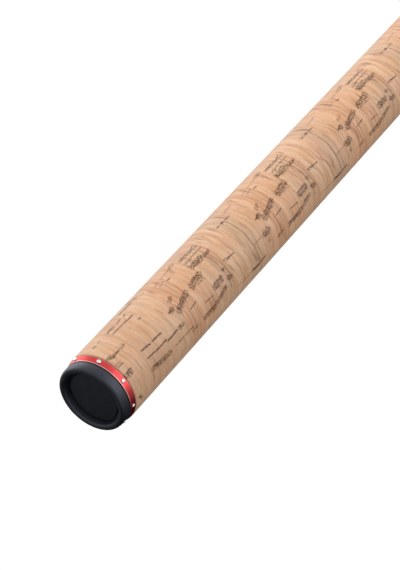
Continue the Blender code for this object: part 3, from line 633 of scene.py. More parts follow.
def rounded(corners: Sequence[Place], steps: int = 5) -> list[tuple[float, float]]:
    """Draws an outline through (x, radius, rounding) corners, each rounding as an arc.

    Args:
        corners: Corners of a closed outline, each with the radius of its rounding.
        steps: Chords in each arc.

    Returns:
        The outline's points.
    """
    outline: list[tuple[float, float]] = []
    for index, (x, radius, rounding) in enumerate(corners):
        here = Vector((x, radius))
        before = Vector(corners[index - 1][:2]) - here
        after = Vector(corners[(index + 1) % len(corners)][:2]) - here
        half = before.angle(after) / 2
        if rounding <= 0.0 or half > math.pi / 2 - 1e-4:
            outline.append((x, radius))
            continue
        reach = min(rounding / math.tan(half), 0.48 * before.length, 0.48 * after.length)
        before.normalize()
        after.normalize()
        centre = here + (before + after).normalized() * (reach / math.cos(half))
        start = here + before * reach
        end = here + after * reach
        for step in range(steps + 1):
            chord = start.lerp(end, step / steps) - centre
            outline.append((centre + chord.normalized() * (start - centre).length)[:])
    return outline


def loft(name: str, loops: Sequence[np.ndarray], closed: bool) -> bpy.types.Object:
    """Joins loops of equally many points into one skin.

    Args:
        name: The piece's name.
        loops: Arrays of points, one loop each.
        closed: True joins the last loop to the first; otherwise both end loops are filled to their middles.

    Returns:
        The lofted piece.
    """
    columns = len(loops[0])
    if not closed:
        middles = [np.repeat(loop.mean(axis=0)[None], columns, axis=0) for loop in (loops[0], loops[-1])]
        loops = [middles[0], *loops, middles[1]]
    return solid(name, np.concatenate(loops), ring_faces(len(loops), columns, closed))


def wire(name: str, corners: Sequence[Place], steps: int, radius: float, sides: int,
         end_share: float = 1.0) -> bpy.types.Object:
    """Bends a wire along the smooth curve that four corners pull.

    Args:
        name: The wire's name.
        corners: The curve's two ends, with the two places that pull it between them.
        steps: Pieces along the wire.
        radius: The wire's radius.
        sides: Facets round it.
        end_share: How much of its radius is left at its two ends.

    Returns:
        The wire.
    """
    done = np.linspace(0.0, 1.0, steps + 1)[:, None]
    left = 1 - done
    first, second, third, last = np.array(corners, dtype=float)
    path = left**3 * first + 3 * done * left**2 * second + 3 * done**2 * left * third + done**3 * last
    radii = np.full(len(path), radius)
    radii[0] = radii[-1] = radius * end_share
    tangents = np.gradient(path, axis=0)
    tangents /= np.linalg.norm(tangents, axis=1)[:, None]
    across = np.cross(tangents[0], (0.0, 0.0, 1.0))
    turn = even_angles(sides)
    loops = []
    for place, tangent, half in zip(path, tangents, radii):
        across = across - tangent * across.dot(tangent)
        across /= np.linalg.norm(across)
        up = np.cross(tangent, across)
        loops.append(place + half * (np.outer(np.cos(turn), across) + np.outer(np.sin(turn), up)))
    return loft(name, loops, False)


def join(name: str, parts: Sequence[bpy.types.Object]) -> bpy.types.Object:
    """Makes several shells one object.

    Args:
        name: Name of the joined piece.
        parts: The shells; they are used up.

    Returns:
        The joined piece.
    """
    points: list = []
    faces: list = []
    for part in parts:
        first = len(points)
        points += [vertex.co[:] for vertex in part.data.vertices]
        faces += [[first + corner for corner in polygon.vertices] for polygon in part.data.polygons]
        bpy.data.objects.remove(part, do_unlink=True)
    return add_object(name, points, faces)


def dress(obj: bpy.types.Object, finish: Finish, body: str, node: str) -> None:
    """Gives a piece its finish, its body and the solid it stands for.

    Args:
        obj: The piece, in place.
        finish: Its material, unless it already has its own.
        body: The CAD body it moves with.
        node: The CAD node it replaces.
    """
    if not obj.data.materials:
        obj.data.materials.append(finish.make())
    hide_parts(node)
    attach(obj, body)
    log.info("%s: %d faces, rides on %s", obj.name, len(obj.data.polygons), body)


def repaint(node: str, finish: Finish) -> None:
    """Gives a CAD node that stays as it is a finish of its own.

    Args:
        node: The CAD node.
        finish: Its material.
    """
    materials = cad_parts[node].data.materials
    materials.clear()
    materials.append(finish.make())
    log.info("%s: keeps its solid, finished as %s", node, finish.name)


@dataclass(frozen=True)
class Reach:
    """Where a CAD node lies along the rod and how far it stands from the rod's axis."""

    start: float
    end: float
    radius: float

    @classmethod
    def of(cls, node: str) -> "Reach":
        """Reads a turned node's box."""
        low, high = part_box(node)
        return cls(low[0], high[0], max(abs(low[1]), abs(high[1])))

    @property
    def length(self) -> float:
        """The node's length along the rod."""
        return self.end - self.start


def blank_radius(x: float) -> float:
    """Outer radius of the lower blank at a distance from the butt."""
    return BLANK_BUTT_RADIUS - BLANK_TAPER * x


# The printed grain


class MarkKind(Enum):
    """The kinds of dark mark that natural cork shows, as the print draws them."""

    DASH = "straight crack along the grip, darker here and there"
    CRACK = "thin line that runs round the grip"
    PORES = "band of crumbly pores, each a dark outline"
    LOOP = "one large pore with a lumpy outline"
    STAIN = "soft brown stain"


DASH, CRACK, PORES, LOOP, STAIN = MarkKind


@dataclass(frozen=True)
class Mark:
    """One dark mark of the print, with its ends in millimetres from the butt and degrees from the top."""

    kind: MarkKind
    start_mm: float
    start_deg: float
    end_mm: float
    end_deg: float
    width_mm: float = 0.5
    ink: float = 1.0


# Marks between the butt and the first repeat of the print
BUTT_MARKS = tuple(Mark(*row) for row in (
    (PORES, 9.0, 8, 14.5, 11, 1.5), (DASH, 14.0, 11, 16.6, 11, 0.6), (PORES, 17.5, 10, 20.8, 9, 2.2, 0.45),
    (LOOP, 9.0, 23, 12.6, 23, 0.8, 0.95), (DASH, 9.2, 27, 12.8, 27, 0.4, 0.9),
    (PORES, 8.8, 44, 13.2, 43, 2.1), (STAIN, 11.0, 82, 13.0, 92, 1.2, 0.9),
    (DASH, 12.8, -25, 14.6, -24, 0.72, 0.85), (DASH, 16.5, -25, 18.8, -26, 0.6, 0.7),
    (PORES, 23.5, -25, 29.0, -25, 1.2), (DASH, 30.0, -24, 34.0, -26, 0.6, 0.85),
    (DASH, 35.4, -24, 37.4, -26, 0.72), (DASH, 23.5, -15, 37.5, -13, 0.6),
    (DASH, 28.0, 0, 30.5, 0, 0.5, 0.35), (DASH, 36.4, 0, 37.6, 1, 0.7, 0.8),
    (DASH, 23.6, 35, 29.6, 37, 0.65), (DASH, 31.2, 37, 37.6, 38, 0.65), (DASH, 23.8, 49, 29.0, 50, 0.6),
    (DASH, 29.5, 51, 37.8, 51, 0.6), (PORES, 23.4, 67, 30.2, 69, 1.7), (PORES, 30.4, 69, 37.6, 70, 1.7),
    (DASH, 23.6, 64, 28.0, 66, 0.4, 0.9), (DASH, 37.2, -38, 45.5, -36, 0.96),
    (STAIN, 45.0, -47, 49.5, -34, 2.2, 0.8), (LOOP, 42.4, -3, 44.0, -4, 1.1, 0.35),
    (DASH, 37.9, 54, 45.6, 53, 0.65), (PORES, 46.2, 53, 50.6, 54, 1.3),
    (DASH, 40.5, 69, 55.0, 70, 0.45, 0.8), (DASH, 43.0, 90, 50.0, 90, 0.8, 0.4),
))

# Marks that the print repeats all along the grip
REPEATED_MARKS = tuple(Mark(*row) for row in (
    (DASH, 47.6, 28, 49.8, 27, 0.6), (PORES, 49.2, 29, 52.2, 25, 2.1),
    (DASH, 50.0, 23, 51.4, 31, 0.4, 0.8), (LOOP, 52.2, 18, 55.4, 12, 1.3),
    (PORES, 52.0, 36, 62.7, 25, 2.0), (LOOP, 52.0, 41, 53.6, 38, 1.0, 0.9),
    (DASH, 53.0, 35, 58.0, 31, 0.5, 1.0), (DASH, 57.8, 47, 62.7, 45, 0.45, 0.95),
    (DASH, 50.0, -31, 53.2, -30, 0.6, 0.6), (DASH, 56.5, -18, 60.8, -21, 0.5, 0.6),
    (DASH, 62.6, -21, 69.2, -23, 0.6, 0.65), (LOOP, 70.2, -23, 74.0, -27, 1.9, 0.9),
    (DASH, 57.5, -11, 62.0, -14, 0.6, 0.6), (DASH, 62.4, -10, 64.8, -9, 0.55, 0.9),
    (PORES, 65.7, 25, 74.7, 22, 2.4), (LOOP, 67.6, 24, 75.0, 20, 2.3, 0.9),
    (DASH, 69.0, 30, 74.7, 31, 0.45, 0.7), (DASH, 66.5, 57, 72.6, 59, 0.5, 0.8),
    (PORES, 53.0, 76, 58.0, 74, 1.4, 0.55), (PORES, 62.9, 76, 72.4, 75, 1.7),
    (PORES, 72.0, 75, 81.6, 66, 1.7), (DASH, 64.0, 73, 71.0, 72, 0.4, 0.8),
    (PORES, 74.9, -17, 84.2, -17, 1.3), (DASH, 84.0, -17, 88.0, -22, 0.48, 0.95),
    (DASH, 84.0, -16, 88.4, -15, 0.48), (LOOP, 75.2, -5, 78.9, -6, 1.4),
    (DASH, 79.2, -7, 88.5, -7, 0.42, 0.9), (PORES, 75.1, 5, 82.6, 5, 2.1), (PORES, 82.6, 7, 88.7, 7, 1.4),
    (CRACK, 84.4, 8, 84.9, 75, 0.45), (CRACK, 85.4, -20, 85.6, 4, 0.3, 0.6),
    (CRACK, 86.8, 10, 87.4, 62, 0.3, 0.7), (PORES, 75.0, 52, 82.0, 51, 2.2),
    (DASH, 75.2, 48, 82.0, 48, 0.35, 0.8), (CRACK, 81.9, 48, 81.9, 56, 0.35, 0.8),
    (PORES, 84.2, 42, 85.8, 43, 1.3, 0.9), (PORES, 84.4, 58, 87.5, 60, 1.8, 0.95),
    (LOOP, 88.8, 35, 91.6, 37, 1.1), (DASH, 90.6, 36, 95.6, 37, 0.5), (DASH, 102.0, -9, 103.3, -9, 0.84),
    (DASH, 105.0, -9, 106.4, -9, 0.96), (DASH, 107.6, -9, 110.8, -8, 0.6, 0.9),
    (CRACK, 107.3, -8, 106.7, 86, 0.35, 0.8), (CRACK, 110.2, 12, 109.6, 84, 0.35, 0.5),
    (DASH, 89.0, 84, 101.0, 86, 0.5, 0.6), (DASH, 101.3, 85, 106.2, 86, 1.05),
    (DASH, 106.8, 85, 111.8, 84, 0.7, 0.9), (DASH, 111.0, -19, 119.0, -22, 0.48, 0.65),
    (LOOP, 115.3, -1, 117.6, -4, 1.2, 0.4), (DASH, 107.2, 53, 115.2, 53, 0.35, 0.65),
    (PORES, 115.0, 53, 119.9, 54, 2.1, 0.95), (STAIN, 116.0, 56, 117.0, 69, 1.0, 0.7),
))

# Growth lines that colour the cork without breaking it: place along the grip, strength
GROWTH_LINES = (
    (15.2, 0.20), (23.4, 0.30), (30.2, 0.22), (45.2, 0.18), (54.7, 0.7), (56.9, 0.95), (58.4, 0.6),
    (59.8, 0.7), (61.4, 0.75), (66.3, 0.35), (69.6, 0.4), (72.0, 0.4), (83.6, 0.4), (86.8, 0.4),
    (88.2, 0.45), (93.5, 0.5), (95.8, 0.65), (97.3, 0.6), (100.4, 0.35), (107.0, 0.4), (113.1, 0.3),
    (115.4, 0.3),
)


@dataclass(frozen=True)
class Tint:
    """One strip of the print from this place on: its colour and how its growth lines run."""

    start_mm: float
    warmth: float
    tone: float
    sway_mm: float
    lines: float


# Strips from the butt on; the last six repeat with the print
TINTS = (
    Tint(0.0, 0.25, 0.99, 0.5, 0.45),
    Tint(22.3, 0.30, 0.95, 0.6, 0.5),
    Tint(37.6, 0.12, 1.00, 0.6, 0.5),
    Tint(51.2, 0.50, 1.01, 0.9, 0.9),
    Tint(62.6, 0.42, 1.01, 0.9, 0.7),
    Tint(74.8, 0.22, 0.94, 0.5, 0.5),
    Tint(88.7, 0.18, 1.01, 1.2, 0.7),
    Tint(101.2, 0.00, 0.89, 0.8, 0.7),
    Tint(110.9, 0.32, 0.98, 0.9, 0.7),
)


def waves(turns: np.ndarray, seed: int, fewest: int, most: int) -> np.ndarray:
    """Adds up smooth seeded waves round the grip, about one high, that close on themselves.

    Args:
        turns: Angles in radians.
        seed: Picks the waves.
        fewest: Fewest waves in a turn.
        most: Most waves in a turn.

    Returns:
        The waves' height at each angle.
    """
    random = np.random.default_rng(seed)
    total = np.zeros(turns.shape)
    for around in range(fewest, most + 1):
        total = total + random.uniform(0.4, 1.0) * np.sin(turns * around + random.uniform(0, 2 * math.pi))
    return total / math.sqrt(most - fewest + 1)


@dataclass
class CorkPrint:
    """The printed grain, drawn on a grid of places along the grip and degrees round it."""

    along_mm: np.ndarray
    columns: int
    radius_mm: float
    seed: int = 5
    repeat_start_mm: float = 51.2
    repeat_mm: float = 69.2
    far_side_deg: float = 178.0
    far_side_shift_mm: float = 31.0
    far_gap_mm: float = 9.0
    layers: dict[str, np.ndarray] = field(default_factory=dict)

    @property
    def step_mm(self) -> float:
        """Distance between two columns round the grip."""
        return 2 * math.pi * self.radius_mm / self.columns

    def draw(self) -> dict[str, np.ndarray]:
        """Draws the whole print.

        Returns:
            An array for each layer, with one row for each place and one column for each angle.
        """
        shape = (len(self.along_mm), self.columns)
        self.layers = {name: np.zeros(shape) for name in LAYERS}
        self.layers["crack_gap"] += self.far_gap_mm
        self.tint()
        self.grow()
        repeats = int((self.along_mm[-1] - self.repeat_start_mm) / self.repeat_mm) + 1
        for turn_deg, shift_mm, first in ((0.0, 0.0, 0), (self.far_side_deg, self.far_side_shift_mm, -1)):
            for number, mark in enumerate(BUTT_MARKS):
                self.mark(mark, shift_mm, turn_deg, number)
            for copy in range(first, repeats):
                for number, mark in enumerate(REPEATED_MARKS):
                    self.mark(mark, copy * self.repeat_mm + shift_mm, turn_deg, 100 + number)
        return self.layers

    def inside(self) -> np.ndarray:
        """Lays each repeat of the print back on the first.

        Returns:
            Places along the grip, as a column.
        """
        rows = self.along_mm[:, None]
        repeated = self.repeat_start_mm + (rows - self.repeat_start_mm) % self.repeat_mm
        return np.where(rows < self.repeat_start_mm, rows, repeated)

    def tint(self) -> None:
        """Lays the strips' colours and the seams between them."""
        layers = self.layers
        inside = self.inside()
        turns = even_angles(self.columns)[None, :]
        layers["tone"] += 1.0
        ends = [strip.start_mm for strip in TINTS[1:]] + [self.repeat_start_mm + self.repeat_mm]
        for number, (strip, end) in enumerate(zip(TINTS, ends)):
            here = ((inside >= strip.start_mm) & (inside < end)).astype(float)
            random = np.random.default_rng(self.seed * 50 + number)
            seed = self.seed + 17 * number
            bend = strip.sway_mm * sum(
                share * waves(turns, seed + offset, fewest, most)
                for share, offset, fewest, most in ((1.0, 0, 1, 4), (0.35, 5, 7, 13), (0.14, 9, 22, 34))
            )
            warped = inside + bend
            layers["bend"] += here * (bend + 5.3 * number)
            layers["warmth"] += here * (strip.warmth + 0.14 * np.sin(warped * 0.9 + random.uniform(0, 6)))
            band = np.sin(warped * 1.15 + random.uniform(0, 6))
            band = band + 0.6 * np.sin(warped * 2.7 + random.uniform(0, 6))
            layers["tone"] += here * (strip.tone - 1.0 + 0.035 * band)
            fade = 0.6 + 0.45 * waves(turns, seed + 13, 2, 7)
            layers["lines"] += here * strip.lines * np.clip(fade, 0, 1.3)
            seam = 0.25 * np.exp(-(((inside - strip.start_mm) / 0.25) ** 2))
            layers["growth"] = np.maximum(layers["growth"], seam)
        for name in ("warmth", "lines"):
            layers[name] = np.clip(layers[name], 0, 1)

    def grow(self) -> None:
        """Draws the growth lines that wave round the grip."""
        inside = self.inside()
        turns = even_angles(self.columns)[None, :]
        growth = self.layers["growth"]
        for number, (place, strength) in enumerate(GROWTH_LINES):
            bend = 0.5 * waves(turns, self.seed + 30 + number, 1, 5)
            bend = bend + 0.2 * waves(turns, self.seed + 90 + number, 8, 14)
            fade = 0.75 + 0.4 * waves(turns, self.seed + 60 + number, 2, 7)
            line = 0.8 * strength * fade * np.exp(-(((inside - place - bend) / 0.4) ** 2))
            growth = np.maximum(growth, line)
        self.layers["growth"] = np.clip(growth, 0, 1)

    def stroke(self, layer: str, start: np.ndarray, end: np.ndarray, half_width: float, ink: float) -> None:
        """Draws one straight stroke into a layer, with a soft edge.

        Args:
            layer: The layer's name.
            start: Place along and round the grip, both in millimetres.
            end: The stroke's other end.
            half_width: Distance from the stroke's middle at which it has faded to half.
            ink: How dark it is, up to 1.
        """
        reach = half_width * 2
        low = np.minimum(start, end) - reach
        high = np.maximum(start, end) + reach
        first, last = np.searchsorted(self.along_mm, (low[0], high[0]))
        if first == last:
            return
        columns = np.arange(math.floor(low[1] / self.step_mm), math.ceil(high[1] / self.step_mm) + 1)
        along = self.along_mm[first:last, None] - start[0]
        around = columns[None, :] * self.step_mm - start[1]
        run = end - start
        share = np.clip((along * run[0] + around * run[1]) / max(run.dot(run), 1e-9), 0.0, 1.0)
        away = np.hypot(along - share * run[0], around - share * run[1])
        block = np.ix_(np.arange(first, last), columns % self.columns)
        target = self.layers[layer]
        target[block] = np.maximum(target[block], ink * np.clip(1.0 - away / reach, 0.0, 1.0))

    def mark(self, mark: Mark, shift_mm: float, turn_deg: float, number: int) -> None:
        """Draws one mark, moved along and round the grip.

        Args:
            mark: The mark.
            shift_mm: How far along it moves.
            turn_deg: How far round it moves.
            number: Picks its wobbles, the same in each repeat.
        """
        round_mm = math.radians(1.0) * self.radius_mm
        start = np.array((mark.start_mm + shift_mm, (mark.start_deg + turn_deg) * round_mm))
        end = np.array((mark.end_mm + shift_mm, (mark.end_deg + turn_deg) * round_mm))
        Pen(self, mark, start, end, np.random.default_rng(self.seed + number)).draw()


@dataclass
class Pen:
    """Draws one mark of the print in its own style."""

    sheet: CorkPrint
    mark: Mark
    start: np.ndarray
    end: np.ndarray
    random: np.random.Generator

    @property
    def length(self) -> float:
        """The mark's length in millimetres."""
        return max(float(np.linalg.norm(self.end - self.start)), 1e-6)

    def at(self, along: float, aside: float = 0.0) -> np.ndarray:
        """A place so far along the mark and so far to its side."""
        ahead = (self.end - self.start) / self.length
        return self.start + ahead * along + np.array((-ahead[1], ahead[0])) * aside

    def draw(self) -> None:
        """Draws the mark."""
        styles = {DASH: self.dash, CRACK: self.crack, PORES: self.pores, LOOP: self.loop, STAIN: self.stain}
        styles[self.mark.kind]()

    def line(self, start: float, end: float, aside: float, half_width: float) -> None:
        """Draws a straight spindle of a stroke along the mark, paler where it starts.

        Args:
            start: Where it starts along the mark.
            end: Where it ends.
            aside: How far to the mark's side it lies.
            half_width: Half its width, about.
        """
        count = max(4, int((end - start) / 0.7) + 1)
        places = [self.at(along, aside) for along in np.linspace(start, end, count)]
        widths = half_width * (0.7 + 0.4 * np.sin(math.pi * np.linspace(0.05, 0.95, count)))
        dark = self.mark.ink * np.clip(self.random.uniform(0.85, 1.1, count), 0, 1)
        dark[0] *= 0.8
        for here, there, width, ink in zip(places[:-1], places[1:], widths, dark):
            self.sheet.stroke("ink", here, there, width, ink)

    def dash(self) -> None:
        """A crack in straight pieces that step a little sideways, with a brown edge."""
        place, aside = 0.0, 0.0
        while place < self.length:
            reach = min(place + self.random.uniform(1.2, 3.6), self.length)
            if self.length - reach < 0.8:
                reach = self.length
            self.line(place, reach, aside, self.mark.width_mm * self.random.uniform(0.34, 0.5))
            place = reach + self.random.uniform(-0.2, 0.35)
            aside = self.random.normal(0, 0.09)
        self.sheet.stroke("stain", self.start, self.end, self.mark.width_mm * 0.6, 0.35 * self.mark.ink)

    def crack(self) -> None:
        """Keeps each place's gap to a thin line round the grip, so that the shader can draw it thin."""
        sheet = self.sheet
        around = np.arange(sheet.columns) * sheet.step_mm
        share = ((around - self.start[1]) % (2 * math.pi * sheet.radius_mm)) / (self.end[1] - self.start[1])
        count = max(4, int(self.length / 1.4))
        drift = np.cumsum(self.random.normal(0, 0.16, count))
        drift -= np.linspace(drift[0], drift[-1], count)
        fade = self.mark.ink * np.clip(self.random.uniform(0.55, 1.2, count), 0, 1)
        knots = np.linspace(0.0, 1.0, count)
        middle = self.start[0] + (self.end[0] - self.start[0]) * share + np.interp(share, knots, drift)
        columns = np.flatnonzero(share <= 1.0)
        gap = sheet.along_mm[:, None] - middle[None, columns]
        near = np.abs(gap) < np.minimum(1.0, np.abs(sheet.layers["crack_gap"][:, columns]))
        for layer, values in (("crack_gap", gap), ("crack", np.interp(share[columns], knots, fade))):
            target = sheet.layers[layer]
            target[:, columns] = np.where(near, values, target[:, columns])

    def loop(self) -> None:
        """One large pore from end to end."""
        half = self.mark.width_mm / 2
        start, end = self.at(half * 0.6), self.at(self.length - half * 0.6)
        self.sheet.stroke("pores", start, end, half, self.mark.ink)

    def pores(self) -> None:
        """A band of pores with an uneven outline, a crack along one side and brown between them."""
        ink, length, half = self.mark.ink, self.length, self.mark.width_mm / 2
        count = max(3, int(length / 0.8) + 1)
        asides = self.random.normal(0, 0.22 * half, count)
        shares = np.linspace(0.0, 1.0, count)
        widths = half * self.random.uniform(0.6, 1.15, count)
        runs = half * 0.5 + shares * (length - half)
        places = [self.at(run, aside) for run, aside in zip(runs, asides)]
        for here, there, width in zip(places[:-1], places[1:], widths):
            if self.random.uniform() < 0.9:
                self.sheet.stroke("pores", here, there, width, ink)
        begin = self.random.uniform(0.0, 0.4) * length
        self.line(begin, begin + 0.5 * length, self.random.choice((-1, 1)) * half * 0.8, 0.18)
        self.sheet.stroke("stain", self.at(length * 0.1), self.at(length * 0.9), half * 0.8, 0.42 * ink)

    def stain(self) -> None:
        """A soft brown stain with a few crumbs in it."""
        width, ink = self.mark.width_mm, self.mark.ink
        for _ in range(8):
            along = self.random.uniform(0, self.length)
            aside = self.random.normal(0, width * 0.25)
            tip = self.at(along + self.random.normal(0, 0.6), aside + self.random.normal(0, 0.25))
            self.sheet.stroke("stain", self.at(along, aside), tip, width * 0.35, ink)
            if self.random.uniform() < 0.5:
                self.sheet.stroke("ink", self.at(along, aside), tip, 0.17, ink)


# Sub-assemblies


@dataclass
class ButtCap:
    """Rubber cap: a rounded lip, then a groove round a sunk floor."""

    lip_rounding: float = 0.0013
    lip_inner_radius: float = 0.0134
    lip_drop: float = 0.0004
    widest_at: float = 0.0022
    side_rounding: float = 0.0020
    shoulder_drop: float = 0.0001
    shoulder_rounding: float = 0.0004
    wall_foot: float = 0.0127
    groove_depth: float = 0.0036
    groove_width: float = 0.0010
    groove_rounding: float = 0.0003
    dish_depth: float = 0.0024
    dish_dip: float = 0.0002
    spigot_radius: float = 0.0118
    ring_gap: float = 0.0003
    sides: int = 160

    def build(self) -> None:
        """Turns the cap with its spigot."""
        cap = Reach.of("butt_cap")
        seat = Reach.of("butt_ring").start - self.ring_gap
        floor = self.wall_foot - self.groove_width
        outline = rounded([
            (cap.end, 0.0, 0.0),
            (cap.end, self.spigot_radius, 0.0006),
            (seat, self.spigot_radius, 0.0),
            (seat, cap.radius - self.shoulder_drop, self.shoulder_rounding),
            (self.widest_at, cap.radius, self.side_rounding),
            (0.0, cap.radius - self.lip_drop, self.lip_rounding),
            (0.0, self.lip_inner_radius, self.lip_rounding),
            (self.groove_depth, self.wall_foot, self.groove_rounding),
            (self.groove_depth, floor + 0.0001, 0.0001),
            (self.dish_depth, floor, self.groove_rounding),
            (self.dish_depth - self.dish_dip, 0.0, 0.0),
        ], steps=8)
        dress(lathe("butt_cap_rubber", outline, self.sides), RUBBER, BUTT_BODY, "butt_cap")


@dataclass
class ButtRing:
    """Red trim ring with bright cut edges and domed rivets round it."""

    chamfer: float = 0.00022
    bore: float = 0.0120
    cone: float = 0.0005
    crown: float = 0.00008
    sides: int = 192
    bright_rows: tuple[int, ...] = (1, 2, 6, 7)
    rivets: int = 8
    rivet_sides: int = 28
    rivet_sink: float = 0.00013
    head_radius: float = 0.00095
    head_rise: float = 0.00055
    head_rim: float = 0.0001
    shank_radius: float = 0.00055
    shank_length: float = 0.0018

    def build(self) -> None:
        """Turns the ring, brightens its cut edges and sets its rivets."""
        ring = Reach.of("butt_ring")
        rear = ring.radius - self.cone
        cut = self.chamfer
        outline = [
            (ring.start, self.bore),
            (ring.start, rear - cut),
            (ring.start + cut * 0.35, rear - cut * 0.25),
            (ring.start + cut, rear),
            (ring.start + ring.length * 0.25, rear + self.crown),
            (ring.end - ring.length * 0.25, ring.radius - self.crown),
            (ring.end - cut, ring.radius),
            (ring.end - cut * 0.35, ring.radius - cut * 0.25),
            (ring.end, ring.radius - cut),
            (ring.end, self.bore),
        ]
        obj = lathe("butt_ring_red", outline, self.sides, sharp_degrees=20.0)
        for finish in (RED, CUT_EDGE):
            obj.data.materials.append(finish.make())
        for polygon in obj.data.polygons:
            polygon.material_index = int(polygon.index // self.sides in self.bright_rows)
        dress(obj, RED, BUTT_BODY, "butt_ring")
        for number in range(1, self.rivets + 1):
            self.rivet(number, ring.radius - self.rivet_sink)

    def rivet(self, number: int, seat: float) -> None:
        """Turns one rivet on its own axis and stands it in the ring.

        Args:
            number: The rivet's number, as its CAD node has it.
            seat: How far from the rod's axis its head sits.
        """
        node = f"ring_stud_{number}"
        low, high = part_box(node)
        middle = (Vector(low) + Vector(high)) / 2
        crown = self.head_rise - self.head_rim
        dome = [
            (self.head_rim + crown * math.sin(turn), self.head_radius * math.cos(turn))
            for turn in np.linspace(0.0, math.pi / 2, 9)[:-1]
        ]
        shank = self.shank_radius
        foot = [(-self.shank_length, 0.0), (-self.shank_length, shank), (-self.head_rim, shank)]
        outline = [*foot, (-self.head_rim, self.head_radius), *dome, (self.head_rise, 0.0)]
        out = np.array(Vector((0.0, middle.y, middle.z)).normalized())
        axes = np.stack([out, np.cross(out, (1.0, 0.0, 0.0)), (1.0, 0.0, 0.0)])
        points = lathe_points(outline, even_angles(self.rivet_sides)) @ axes + out * seat
        points[:, 0] += middle.x
        obj = solid(f"ring_rivet_{number}", points, ring_faces(len(outline), self.rivet_sides, True))
        dress(obj, CHROME, BUTT_BODY, node)


@dataclass
class PrintedGrip:
    """Grip with a printed cork sleeve over its foam."""

    prefix: str
    rear_radius: float
    front_radius: float
    rounding: float
    fine_until: float
    fine_step: float
    coarse_step: float
    columns: int
    skin: float = 0.0010
    relief: float = 0.00003
    arc: int = 7

    def build(self) -> None:
        """Builds the sleeve with its print, and finishes the foam under it."""
        sleeve = Reach.of(self.prefix + "_skin")
        rows = np.array(self.rows(sleeve))
        layers = CorkPrint(rows[:, 0] / MM, self.columns, float(rows[:, 1].mean()) / MM).draw()
        angles = even_angles(self.columns)
        outer = turned(rows[:, :1], rows[:, 1:] - self.relief * np.clip(layers["ink"], 0, 1), angles)
        bore = [(x, self.radius_at(sleeve, x) - self.skin) for x in (sleeve.end, sleeve.start)]
        inner = lathe_points(bore, angles)
        faces = ring_faces(len(rows) + 2, self.columns, True)
        obj = solid(self.prefix + "_sleeve", np.concatenate([outer, inner]), faces, 60.0)
        for name, values in layers.items():
            hidden = np.full((2, self.columns), values.mean())
            whole = np.concatenate([values, hidden]).reshape(-1).astype(np.float32)
            obj.data.attributes.new(name, "FLOAT", "POINT").data.foreach_set("value", whole)
        dress(obj, CORK, BUTT_BODY, self.prefix + "_skin")
        repaint(self.prefix + "_core", EVA)

    def radius_at(self, sleeve: Reach, x: float) -> float:
        """Outer radius of the sleeve at a distance from the butt."""
        taper = (self.front_radius - self.rear_radius) / sleeve.length
        return self.rear_radius + taper * (x - sleeve.start)

    def rows(self, sleeve: Reach) -> list[tuple[float, float]]:
        """Spaces the rows of the sleeve's outside, close together where the photograph shows it.

        Args:
            sleeve: Where the sleeve lies.

        Returns:
            Places along the rod with the radius at each.
        """
        edge = self.rounding
        first = sleeve.start + edge
        last = sleeve.end - edge
        rows = [
            (first - edge * math.cos(turn), self.rear_radius - edge * (1 - math.sin(turn)))
            for turn in np.linspace(0.0, math.pi / 2, self.arc)
        ]
        x = first
        while x < last - self.coarse_step:
            x += self.fine_step if x < self.fine_until else self.coarse_step
            rows.append((x, self.radius_at(sleeve, x)))
        rows += [
            (last + edge * math.sin(turn), self.front_radius - edge * (1 - math.cos(turn)))
            for turn in np.linspace(0.05, math.pi / 2, self.arc)
        ]
        return rows


@dataclass
class TrimRings:
    """Red rings between the grips, the reel seat and the blank, each with two fine grooves."""

    rounding: float = 0.0008
    groove_depth: float = 0.00012
    groove_width: float = 0.0004
    groove_wall: float = 0.0001
    groove_rounding: float = 0.00004
    groove_shares: tuple[float, ...] = (0.36, 0.60)
    sides: int = 128

    def build(self) -> None:
        """Turns the three rings."""
        self.ring("rear_check", 0.01456, 0.0138)
        self.ring("seat_check", 0.0138, 0.0150)
        self.ring("front_check", 0.0102, blank_radius(Reach.of("front_check").start) + 0.0012)

    def ring(self, node: str, rear: float, front: float) -> None:
        """Turns one ring.

        Args:
            node: The CAD node it replaces.
            rear: Its radius at the butt's end.
            front: Its radius at the tip's end.
        """
        reach = Reach.of(node)
        bores = [(x, blank_radius(x) + GLUE_GAP, 0.0) for x in (reach.start, reach.end)]
        corners = [bores[0], (reach.start, rear, self.rounding)]
        for share in self.groove_shares:
            outer = rear + (front - rear) * share
            floor = outer - self.groove_depth
            wall, width = self.groove_wall, self.groove_width
            for step, radius in ((0.0, outer), (wall, floor), (width - wall, floor), (width, outer)):
                corners.append((reach.start + reach.length * share + step, radius, self.groove_rounding))
        corners += [(reach.end, front, self.rounding), bores[1]]
        obj = lathe(node + "_ring", rounded(corners, steps=4), self.sides)
        dress(obj, RED, BUTT_BODY, node)


